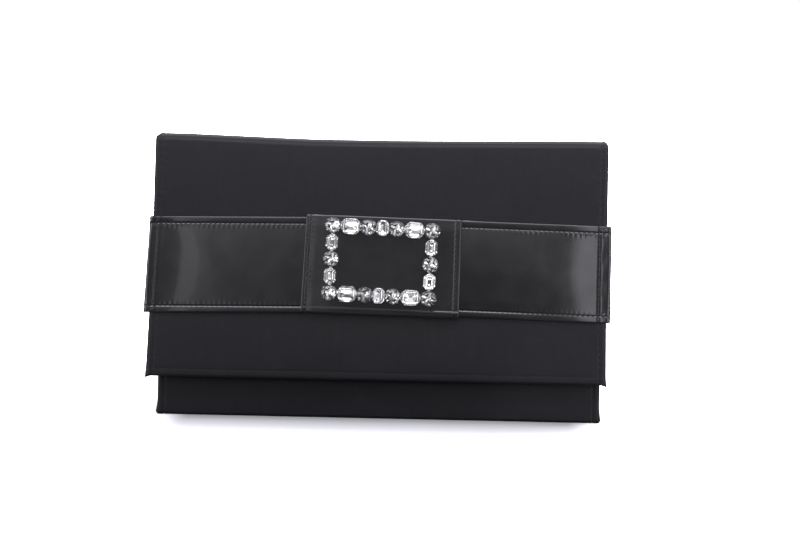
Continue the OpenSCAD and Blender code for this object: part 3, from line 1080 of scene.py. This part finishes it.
def keeper_hem(c):
    """The width of the folded side that is nearer to c."""
    return left_hem if c < 0 else right_hem


def keeper_relief(s, c, d, e):
    """Folded sides with a stitched line in from each edge, and soft puckers beside it."""
    point, out = keeper_line.at(s)
    down = point.x
    if out.y < 0.7:
        return 0.05 * mm * waver(s, c, 9 * mm, 15)
    on_left = c < 0
    inside = max(0.0, d - keeper_hem(c))
    hem = folded_hem(d, keeper_hem(c), 0.11 * mm)
    groove = bell(d - keeper_hem(c), 0.32 * mm) * stitch_pull(down) * (-0.2 if on_left else -0.15)
    gather = pucker(down, 51 if on_left else 61) * beside_line(inside, 1.2 * mm)
    gather *= 0.12 if on_left else 0.05
    field = (0.13 if on_left else 0.06) * smooth(inside / (3.5 * mm))
    field += 0.38 * smooth(inside / (16 * mm)) if on_left else 0.38
    crown = 0.25 * smooth((keeper_h - abs(down)) / (7 * mm)) - 0.25
    soft = 0.07 * waver(down, c, 25 * mm, 17)
    foot = folded_hem(foot_hem - (keeper_h - down), foot_hem, 0.42 * mm)
    foot *= 0.3 + (0.35 if on_left else 0.7) * smooth((abs(c) - 14 * mm) / (14 * mm))
    return hem + foot + (groove + gather + field + crown + soft) * mm


KEEPER_EDGE = (0, 0.05, 0.15, 0.35, 0.65, 1.0, 1.4, 1.7, 1.95, 2.15, 2.3, 2.45, 2.65, 2.9, 3.2, 3.6,
               4.1, 4.8, 5.8, 7.2)
face_end = keeper_line.parts[3][0]
keeper_rows = keeper_line.stations(0.55 * mm, 0.15 * mm)
keeper_rows += spread(face_end - foot_hem, face_end, 0.12 * mm)
keeper = slab("patent_keeper", sorted_unique(keeper_rows, 0.05 * mm), keeper_cross, keeper_place,
              keeper_relief, keeper_t, PATENT, 0.6 * mm, (0.3 * mm, 0.3 * mm), step=1.6 * mm,
              edges=KEEPER_EDGE)


# ---------------------------------------------------------------- thread

def face_start(line, value):
    """Distance along a line at which its face reaches the place value."""
    low, high = 0.0, line.length
    for _ in range(40):
        middle = (low + high) / 2
        point, out = line.at(middle)
        before = point.x < value if out.y > 0.5 else middle < line.length / 2
        low, high = (middle, high) if before else (low, middle)
    return low


def on_band(s, c):
    """A point of the band's outer face and the way it faces."""
    return band_place(s, c, band_relief(s, c, band_half - abs(c), 1)), flap.out


def band_surface(c):
    """The stitched line along the band at the height c."""
    start = face_start(band_line, -band_x + 2.5 * mm)
    return lambda t: on_band(start + t, c)


def band_end_surface(x):
    """The stitched line across the band at the place x."""
    s = face_start(band_line, x)
    return lambda t: on_band(s, -band_half + 2 * mm + t)


def keeper_surface(side):
    """The stitched line down the keeper's left side, -1, or right side, 1."""
    start = face_start(keeper_line, -keeper_h + 1.5 * mm)
    width = keeper_hem(side)

    def surface(t):
        low, high = keeper_cross(start + t)
        c = low + width if side < 0 else high - width
        relief = keeper_relief(start + t, c, width, 1)
        return keeper_place(start + t, c, relief), flap.out
    return surface


def satin_surface(side):
    """The seam down the flap's left side, -1, or right side, 1."""
    def surface(t):
        s = fold_r + t
        low, high = flap_cross(s)
        c = low + seam_in if side < 0 else high - seam_in
        out = Vector((0, *flap_line.at(s)[1]))
        return flap_place(s, c, satin_relief(s, c, seam_in, 1)), out
    return surface


SIDES = (-1, 1)
band_seams = [(2 * band_x - 5 * mm, band_surface(c)) for c in (field_half, -field_half)]
band_seams += [(2 * band_half - 4 * mm, band_end_surface(x))
               for x in (left_strip - band_x, band_x - right_strip)]
keeper_seams = [(2 * keeper_h - 3 * mm, keeper_surface(side)) for side in SIDES]
flap_seams = [(flap_end - fold_r - 5 * mm, satin_surface(side)) for side in SIDES]
band_thread = stitches("band_thread", band_seams, THREAD)
keeper_thread = stitches("keeper_thread", keeper_seams, THREAD, seed=5)
flap_thread = stitches("flap_thread", flap_seams, THREAD, pitch=3.4 * mm, length=2.4 * mm,
                       radius=0.13 * mm, seed=7)


# ---------------------------------------------------------------- buckle ornament

# The stones' nodes in the order of the numbers in their names
STONES = sorted((n for n in frame["nodes"] if "_stone_" in n), key=lambda n: int(n.split("_")[-1]))


def middle(node):
    """The middle of a CAD node's box."""
    low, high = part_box(node)
    return (low + high) / 2


gem_out = flap.out
gem_right = (middle(STONES[6]) - middle(STONES[0])).normalized()
gem_up = gem_out.cross(gem_right)


def gem_span(node):
    """Lowest and highest (right, up, out) of a node in the ornament's own directions."""
    return extent(node, (gem_right, gem_up, gem_out), Vector())


def gem_point(right, up, out):
    """A point from its places in the ornament's own directions."""
    return gem_right * right + gem_up * up + gem_out * out


plate_out = flap.origin.dot(gem_out) + keeper_out    # the keeper's face
culet_to_girdle = 2.0 * mm    # the height of the foiled part
girdle_t = 0.3 * mm
table_in = 1.5 * mm      # the table's edge lies this far inside the stone's
cut_share = 0.54         # an octagon's cut corner, as a share of its shorter half


def octagon(half_x, half_y, cut):
    """Eight corners of a rectangle with cut corners, counter-clockwise."""
    return [(half_x, half_y - cut), (half_x - cut, half_y), (cut - half_x, half_y),
            (-half_x, half_y - cut), (-half_x, cut - half_y), (cut - half_x, -half_y),
            (half_x - cut, -half_y), (half_x, cut - half_y)]


def gem(name, centre, points, faces, girdle, painted_shades):
    """A cut stone with foil behind the faces below its girdle.

    points are (right, up) from its middle and the height out.
    painted shades: how many facets near the girdle and near the culet get each foil, whose grey
    paints their reflections.
    """
    verts = [gem_point(centre.x + x, centre.y + y, z) for x, y, z in points]
    piece = finish_mesh(name, verts, faces, CRYSTAL, smooth_shaded=False)
    for shade in PAINTED_SPARKLE_FOILS:
        piece.data.materials.append(shade)
    chance = random.Random(name)
    foil_from = girdle + girdle_t * 0.2
    halfway = (foil_from + min(z for _, _, z in points)) / 2
    near_girdle, near_culet = painted_shades
    for polygon in piece.data.polygons:
        out = polygon.center.dot(gem_out)
        if out < foil_from:
            weights = near_culet if out < halfway else near_girdle
            polygon.material_index = 1 + chance.choices((0, 1, 2), weights)[0]
    return piece


def round_brilliant(name, centre, radius, culet, girdle, table):
    """Table, eight stars, eight kites and sixteen upper halves over a foiled pavilion."""
    table_r = radius - table_in
    star_r, pavilion_r = radius * 0.81, radius * 0.28
    top = girdle + girdle_t
    half_step = math.cos(math.pi / 8)

    def crown_z(x):
        return table + (x - table_r) / (radius - table_r) * (top - table)

    def pavilion_z(x):
        return culet + x / radius * (girdle - culet)

    def ring(r, count, z, shift=0.0):
        return [(r * math.cos((k + shift) * 2 * math.pi / count),
                 r * math.sin((k + shift) * 2 * math.pi / count), z) for k in range(count)]

    points = ring(table_r, 8, table) + ring(star_r, 8, crown_z(star_r * half_step), 0.5)
    points += ring(radius, 16, top) + ring(radius, 16, girdle)
    inner = ring(pavilion_r, 8, pavilion_z(pavilion_r * half_step), 0.5)
    points += [(x * w, y * w, z) for (x, y, z), w in zip(inner, (0.8, 1.3) * 4)]
    points += [(0, 0, culet)]
    star, upper, lower, pavilion, tip = 8, 16, 32, 48, 56
    faces = [tuple(range(8))]
    for k in range(8):
        before, after, middle = (k - 1) % 8, (k + 1) % 8, 2 * k
        one, two = middle + 1, (middle + 2) % 16
        faces.append((k, star + k, after))
        faces.append((k, star + before, upper + middle, star + k))
        faces.append((star + k, upper + middle, upper + one))
        faces.append((star + k, upper + one, upper + two))
        faces.append((pavilion + k, lower + middle, lower + one))
        faces.append((pavilion + k, lower + one, lower + two))
        faces.append((tip, pavilion + before, lower + middle, pavilion + k))
    for k in range(16):
        n = (k + 1) % 16
        faces.append((upper + k, upper + n, lower + n, lower + k))
    # Painted reflections: facets near the girdle mostly bright, near the culet mostly grey or dark
    return gem(name, centre, points, faces, girdle, ((6, 3, 1), (1, 4, 5)))


def step_cut(name, centre, half_x, half_y, culet, girdle, table):
    """A table and two steps over a girdle, and two foiled steps to a ridge."""
    short = min(half_x, half_y)
    top = girdle + girdle_t
    rise, deep = table - top, girdle - culet
    steps = (0.24, 0.46, 0.50, 0.82) if half_x > 4.5 * mm else (0.36, 0.5, 0.70, 0.85)
    levels = [(table_in, table), (table_in * 0.5, top + rise * 0.62), (0, top), (0, girdle),
              (short * steps[0], girdle - deep * steps[1]),
              (short * steps[2], girdle - deep * steps[3])]
    points = []
    for inset, z in levels:
        corner = max(0.12 * mm, cut_share * short - inset * (2 - math.sqrt(2)))
        points += [(x, y, z) for x, y in octagon(half_x - inset, half_y - inset, corner)]
    faces = [tuple(range(8))] + tube_quads(len(levels), 8)
    last, tip = len(points) - 8, len(points)
    ridge = Vector((half_x - short, half_y - short)) * 0.9
    points += [(ridge.x, ridge.y, culet), (-ridge.x, -ridge.y, culet)]
    near = [tip if x * ridge.x + y * ridge.y > 0 else tip + 1 for x, y, _ in points[last:tip]]
    for k in range(8):
        n = (k + 1) % 8
        ends = (near[k],) if near[k] == near[n] else (near[n], near[k])
        faces.append((last + k, last + n, *ends))
    # Painted reflections: facets near the girdle all bright, near the ridge mostly bright
    return gem(name, centre, points, faces, girdle, ((1, 0, 0), (6, 3, 1)))


cut_stones = []
settings = []      # middle, half width, half height, is round
for node in STONES:
    low, high = gem_span(node)
    centre = (low + high) / 2
    half_x, half_y = (high.x - low.x) / 2, (high.y - low.y) / 2
    culet, table = low.z, high.z
    girdle = culet + culet_to_girdle
    name = node.replace("_stone_", "_crystal_")
    if node.startswith("round"):
        stone = round_brilliant(name, centre, half_x, culet, girdle, table)
    else:
        stone = step_cut(name, centre, half_x, half_y, culet, girdle, table)
    cut_stones.append((stone, node))
    settings.append((centre, half_x, half_y, node.startswith("round")))


def outline(half_x, half_y, is_round, grow):
    """A stone's outline as points, grown on every side."""
    if is_round:
        return [((half_x + grow) * math.cos(2 * math.pi * k / 32),
                 (half_x + grow) * math.sin(2 * math.pi * k / 32)) for k in range(32)]
    corner = cut_share * min(half_x, half_y) + grow * (2 - math.sqrt(2))
    return octagon(half_x + grow, half_y + grow, corner)


# The cup of a setting, from its rim's outer foot to its floor: how far it stands outside the
# stone and how high over the keeper, in millimetres
CUP = ((0.06, 0.0), (0.06, 2.6), (0.02, 2.95), (-0.12, 3.0), (-0.35, 2.75), (-0.6, 1.1),
       (-1.6, 1.0))
# A claw, from its foot to its end: how far it leans in, how high it is and its wire's radius
CLAW = ((0.0, 0.4, 0.27), (0.0, 2.8, 0.27), (0.05, 3.3, 0.27), (0.22, 3.75, 0.25),
        (0.52, 4.0, 0.21), (0.72, 4.02, 0.12))
claw_out = 0.16 * mm     # a claw stands this far outside its stone


def setting(parts, centre, half_x, half_y, is_round):
    """A cup with a thin rim that follows the stone, and four claws bent over its girdle."""
    add_tube(parts, [[gem_point(centre.x + x, centre.y + y, plate_out + z * mm)
                      for x, y in outline(half_x, half_y, is_round, grow * mm)]
                     for grow, z in CUP])
    if is_round:
        corner = Vector((half_x, half_x)) / math.sqrt(2)
    else:
        middle = cut_share * min(half_x, half_y) / 2
        corner = Vector((half_x - middle, half_y - middle))
    corner += Vector((claw_out, claw_out))
    for sx in SIDES:
        for sy in SIDES:
            claw(parts, centre, Vector((sx * corner.x, sy * corner.y)))


def claw(parts, centre, foot):
    """A round wire that stands beside the stone and bends over its edge."""
    inward = -foot.normalized()
    aside = Vector((-inward.y, inward.x))
    sides = 8
    rings = []
    for k, (lean, z, radius) in enumerate(CLAW):
        before, after = CLAW[max(0, k - 1)], CLAW[min(len(CLAW) - 1, k + 1)]
        tilt = math.atan2(after[0] - before[0], after[1] - before[1])
        ring = []
        for q in range(sides):
            angle = 2 * math.pi * q / sides
            along, across = math.cos(angle) * radius, math.sin(angle) * radius
            place = foot + (inward * (lean + along * math.cos(tilt)) + aside * across) * mm
            up = (z - along * math.sin(tilt)) * mm
            ring.append(gem_point(centre.x + place.x, centre.y + place.y, plate_out + up))
        rings.append(ring)
    add_tube(parts, rings)


def bar(parts, a, b, width, height):
    """A bar with bevelled top edges, from a to b in the ornament's plane."""
    way = (b - a).normalized()
    side = Vector((-way.y, way.x)) * width / 2
    bevel = 0.3 * mm
    flat = 1 - 2 * bevel / width
    section = ((-1, 0.02 * mm), (1, 0.02 * mm), (1, height - bevel), (flat, height),
               (-flat, height), (-1, height - bevel))
    rings = []
    for end in (a, b):
        places = [(end + side * across, plate_out + z) for across, z in section]
        rings.append([gem_point(p.x, p.y, z) for p, z in places])
    add_tube(parts, rings)


def buckle():
    """Four bars under twenty settings, one piece of plated metal."""
    parts = ([], [])
    corners = [settings[k][0].xy for k in (0, 6, 10, 16)]
    for a, b in zip(corners, corners[1:] + corners[:1]):
        bar(parts, a, b, 1.3 * mm, 0.8 * mm)
    for centre, half_x, half_y, is_round in settings:
        setting(parts, centre, half_x, half_y, is_round)
    piece = finish_mesh("buckle_settings", *parts, SILVER)
    piece.data.set_sharp_from_angle(angle=math.radians(32))
    return piece


buckle_piece = buckle()


# ---------------------------------------------------------------- magnetic snap

socket_low, socket_high = front.span("snap_socket")
stud_low, stud_high = flap.span("snap_stud")
socket_v = (socket_low.y + socket_high.y) / 2
stud_v = (stud_low.y + stud_high.y) / 2
axis_gap = 0.02 * mm     # a turned piece stops this far from its axis
snap_r = (socket_high.x - socket_low.x) / 2


def cap_outline(radius, height, hole, hole_deep):
    """Half section of a pressed cap with rounded rims and a hole, in (radius, height)."""
    r = 0.35 * mm
    points = [(radius, 0.0), (radius, height - r)]
    points += [(radius - r + r * math.cos(a), height - r + r * math.sin(a))
               for a in (0.4, 0.8, 1.2, math.pi / 2)]
    points += [(radius - 1.5 * mm, height), (radius - 1.9 * mm, height - 0.18 * mm),
               (hole + 1.3 * mm, height - 0.18 * mm), (hole + 0.9 * mm, height),
               (hole + 0.3 * mm, height), (hole, height - 0.3 * mm),
               (hole, height - hole_deep)]
    return points + [(axis_gap, height - hole_deep), (axis_gap, 0.0)]


def stud_outline(radius, plate, post, reach):
    """Half section of the stud: a dished plate and its rounded post."""
    return [(radius, 0.0), (radius, plate - 0.3 * mm), (radius - 0.3 * mm, plate),
            (radius - 1.6 * mm, plate), (radius - 2.0 * mm, plate - 0.15 * mm),
            (post + 1.2 * mm, plate - 0.15 * mm), (post + 0.3 * mm, plate),
            (post, plate + 0.3 * mm), (post, plate + reach - 0.35 * mm),
            (post - 0.35 * mm, plate + reach), (axis_gap, plate + reach), (axis_gap, 0.0)]


snap_cap = lathe("snap_cap", cap_outline(snap_r, socket_high.z, 2.7 * mm, 1.9 * mm),
                 front.at(0, socket_v, 0), front.out, NICKEL)
stud_plate = 1.4 * mm
snap_stud = lathe("snap_stud_plate",
                  stud_outline(snap_r, stud_plate, 2.3 * mm, -stud_low.z - stud_plate),
                  flap.at(0, stud_v, 0), -flap.out, NICKEL)


# ---------------------------------------------------------------- CAD pieces that stay

STAYING = {"snap_magnet": FERRITE, "snap_back_plate": NICKEL, "snap_socket_washer": NICKEL,
           "snap_stud_washer": NICKEL, "buckle_washers": NICKEL}
for node, material in STAYING.items():
    slots = frame["nodes"][node].data.materials
    slots.clear()
    slots.append(material)


# ---------------------------------------------------------------- bodies

def dress(piece, slot, body, *replaced):
    """A rigid piece: its slot, which is not used, its body and the CAD nodes it stands for."""
    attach(piece, body)
    if replaced:
        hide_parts(*replaced)


def drape(piece, slot, bodies, start, end, *replaced):
    """A piece of cloth: its place is baked into its mesh, and the CAD nodes it stands for are
    hidden.
    """
    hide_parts(*replaced)
    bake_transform(piece)


rear_start = Vector((0, back_y, hinge_z - 2.5 * mm))
rear_end = Vector((0, back_y - 5 * mm, top_z))
fold_start = Vector((0, flap.origin.y + 4 * mm, top_z))
fold_end = flap.at(0, 6 * mm, flap_out)
foot_start = Vector((0, front.origin.y + 6 * mm, 0))
foot_end = front.at(0, -5 * mm, 0)
mouth_start = front.at(0, 0, front_in - 9 * mm)
mouth_end = front.at(0, 0, front_in)

drape(satin_flap, "black_satin", ("spine", "flap"), fold_start, fold_end,
      "flap_cover", "flap_board", "spine_cover", "spine_board")
drape(satin_back, "black_satin", ("bag_body", "spine"), rear_start, rear_end,
      "back_cover", "back_board", "base_cover", "base_board")
drape(satin_front, "black_satin", ("bag_body", "front_wall"), foot_start, foot_end,
      "front_cover", "front_board")
drape(lining_flap, "lining_satin", ("spine", "flap"), fold_start, fold_end,
      "flap_lining", "spine_lining")
drape(lining_back, "lining_satin", ("bag_body", "spine"), rear_start, rear_end,
      "back_lining", "base_lining")
dress(lining_front, "lining_satin", "front_wall", "front_lining")
for piece, node in ((gusset_left, "gusset_left"), (gusset_right, "gusset_right")):
    drape(piece, "black_satin", ("bag_body", "front_wall"), mouth_start, mouth_end,
          node + "_rear", node + "_front")
dress(pocket, "lining_satin", "bag_body", "slip_pocket")
dress(band, "black_patent", "flap", "band")
dress(keeper, "black_patent", "flap", "keeper")
dress(band_thread, "black_patent", "flap")
dress(keeper_thread, "black_patent", "flap")
dress(flap_thread, "black_satin", "flap")
dress(buckle_piece, "silver_metal", "flap", "buckle_frame")
for stone, node in cut_stones:
    dress(stone, "crystal", "flap", node)
dress(snap_cap, "nickel_steel", "front_wall", "snap_socket")
dress(snap_stud, "nickel_steel", "flap", "snap_stud")


# ---------------------------------------------------------------- camera, lights and floor

def aim(obj, eye, target, roll=0.0):
    """Turns a camera or a light at eye towards target."""
    obj.location = eye
    turn = (target - eye).to_track_quat("-Z", "Y").to_matrix().to_4x4()
    obj.matrix_world = Matrix.Translation(eye) @ turn @ Matrix.Rotation(roll, 4, "Z")


def polar(target, azimuth, elevation, distance):
    """A point at a direction from target; azimuth 0 is in front of the bag, + to the right."""
    a, e = math.radians(azimuth), math.radians(elevation)
    return target + distance * Vector((math.sin(a) * math.cos(e), -math.cos(a) * math.cos(e),
                                       math.sin(e)))


def make_camera():
    """In front, a little to the right and above, and tilted a little."""
    data = bpy.data.cameras.new("camera")
    data.lens = 99.07
    data.sensor_width = 36
    camera = bpy.data.objects.new("camera", data)
    bpy.context.scene.collection.objects.link(camera)
    target = Vector((11 * mm, front.origin.y + 5 * mm, 75.5 * mm))
    azimuth, elevation, distance = 1.7, 9.0, 1.15
    aim(camera, polar(target, azimuth, elevation, distance), target, roll=math.radians(0.9))
    bpy.context.scene.camera = camera


def softbox(name, eye, target, width, height, radiance):
    """A rectangular area light of even radiance."""
    data = bpy.data.lights.new(name, "AREA")
    data.shape = "RECTANGLE"
    data.size, data.size_y = width, height
    data.energy = radiance * math.pi * width * height
    data.color = (0.97, 0.96, 1.06)
    light = bpy.data.objects.new(name, data)
    bpy.context.scene.collection.objects.link(light)
    light.visible_camera = False
    aim(light, eye, target)


# Softboxes: azimuth, elevation and distance from the bag, width, height and radiance. The two
# strips and what is spread beside them are what the patent mirrors at its ends.
SOFTBOXES = {
    "front_top": (0, 65, 1.8, 1.4, 0.7, 5.0),
    "left_strip": (-14.0, 9, 1.9, 0.12, 1.3, 0.82),
    "left_spread": (-12.5, 9, 1.95, 0.23, 1.3, 0.42),
    "left_veil": (-10.5, 9, 2.0, 0.3, 1.3, 0.1),
    "right_strip": (14.7, 12, 1.9, 0.19, 1.7, 0.95),
    "right_spread": (14.1, 12, 1.95, 0.23, 1.7, 0.95),
    "right_veil": (13.6, 12, 2.0, 0.26, 1.7, 0.65),
    "left_side": (-70, 12, 1.8, 1.2, 1.2, 2.2),
    "rear_low": (128, 20, 1.6, 0.9, 0.9, 5.0),
}


def make_lights():
    """A box overhead and slightly behind, one close on the right, and the softboxes."""
    centre = Vector((0, 0, 70 * mm))
    softbox("overhead", Vector((0, 0.12, 1.7)), centre, 0.9, 0.7, 2.0)
    softbox("right_side", Vector((0.48, -0.26, 0.13)), centre, 0.25, 0.4, 2.2)
    for name, (azimuth, elevation, distance, *size_and_radiance) in SOFTBOXES.items():
        softbox(name, polar(centre, azimuth, elevation, distance), centre, *size_and_radiance)


# How bright the studio is, by height, with a blue tint
SKY = ((0.0, 0.27, 1.0), (0.07, 0.285, 1.02), (0.18, 0.345, 1.03), (0.33, 0.72, 1.04),
       (0.5, 0.88, 1.05), (0.9, 0.42, 1.05))
# How white the floor looks to the camera, by distance from under the bag: a painted contact shadow
# close by, pure white farther off
FLOOR = ((0.015, 0.44, 1.0), (0.024, 0.66, 1.0), (0.034, 0.85, 1.0), (0.051, 1.25, 1.0),
         (0.1, 2.6, 1.0), (0.9, 8.0, 1.0))


def make_world():
    """A studio that is dim near the floor and pale above, plain white to the camera."""
    world = bpy.data.worlds.new("studio")
    bpy.context.scene.world = world
    world.use_nodes = True
    world.node_tree.nodes.clear()
    w = Nodes(world.node_tree)
    height = w.split(w.add("ShaderNodeTexCoord").outputs["Generated"])["Z"]
    path = w.add("ShaderNodeLightPath").outputs
    sparkle = w.math("MULTIPLY_ADD", path["Is Transmission Ray"], 0.9, 1.0)
    lit = w.add("ShaderNodeBackground", {"Color": w.gradient(height, SKY), "Strength": sparkle})
    seen = w.add("ShaderNodeBackground", {"Color": (1, 1, 1, 1), "Strength": 1.1})
    mix = w.add("ShaderNodeMixShader", {0: path["Is Camera Ray"], 1: lit.outputs[0],
                                        2: seen.outputs[0]})
    w.add("ShaderNodeOutputWorld", {"Surface": mix.outputs[0]})


def on_stage(name, material):
    """Names the object just added and gives it its material."""
    obj = bpy.context.object
    obj.name = name
    obj.data.materials.append(material)
    return obj


def make_floor():
    """A white sweep with a painted contact shadow close to the bag, lifted to pure white away from
    it; dark grey to bounced light, as painted shade on the bag's lower faces.
    """
    m = Material("white floor, painted shadow")
    place = m.object_place()
    x, y, _ = m.split(place)
    # Distance from under the bag for the painted contact shadow, which ends sooner beyond the bag's
    # ends
    beyond = m.math("SUBTRACT", m.math("ABSOLUTE", x), body_half - 17 * mm)
    beyond = m.math("MULTIPLY", m.math("MAXIMUM", beyond, 0.0), 3.5)
    oval = m.add("ShaderNodeCombineXYZ", {0: beyond, 1: y}).outputs[0]
    away = m.add("ShaderNodeVectorMath", {0: oval}, operation="LENGTH").outputs["Value"]
    speck = m.ramp(m.noise(place, 6.0), 0.99, 1.0)
    # Painted contact shadow: the floor's colour is darker close to the bag
    seen = m.multiply(m.gradient(away, FLOOR), speck)
    path = m.add("ShaderNodeLightPath").outputs
    bright = m.math("MAXIMUM", path["Is Camera Ray"], path["Is Transmission Ray"])
    # Painted shade: to light that bounces onto the bag the floor is dark grey, which darkens the
    # bag's lower faces
    colour = m.add("ShaderNodeMix", {"Factor": bright, "A": (0.19, 0.19, 0.19, 1), "B": seen},
                   data_type="RGBA")
    diffuse = m.add("ShaderNodeBsdfDiffuse", {"Color": colour.outputs["Result"]})
    m.put(m.tree.nodes["Material Output"].inputs["Surface"], diffuse.outputs[0])
    bpy.ops.mesh.primitive_circle_add(vertices=96, radius=6, fill_type="NGON")
    on_stage("floor", m.material)


def make_card():
    """A low black card in front, outside the picture, that darkens the lower reflections."""
    m = Material("black card")
    m.set(Base_Color=m.ramp(m.noise(m.object_place(), 20.0), 0.01, 0.015), Roughness=0.9)
    width, height = 0.21, 36 * mm
    bpy.ops.mesh.primitive_plane_add(size=1, location=(-0.022, -0.1, 26 * mm))
    card = on_stage("card", m.material)
    card.scale = (width, height, 1)
    card.rotation_euler = (math.radians(90), 0, 0)
    card.visible_camera = False
    card.visible_transmission = False


make_card()
make_camera()
make_lights()
make_world()
make_floor()
bpy.context.scene.view_settings.view_transform = "Standard"
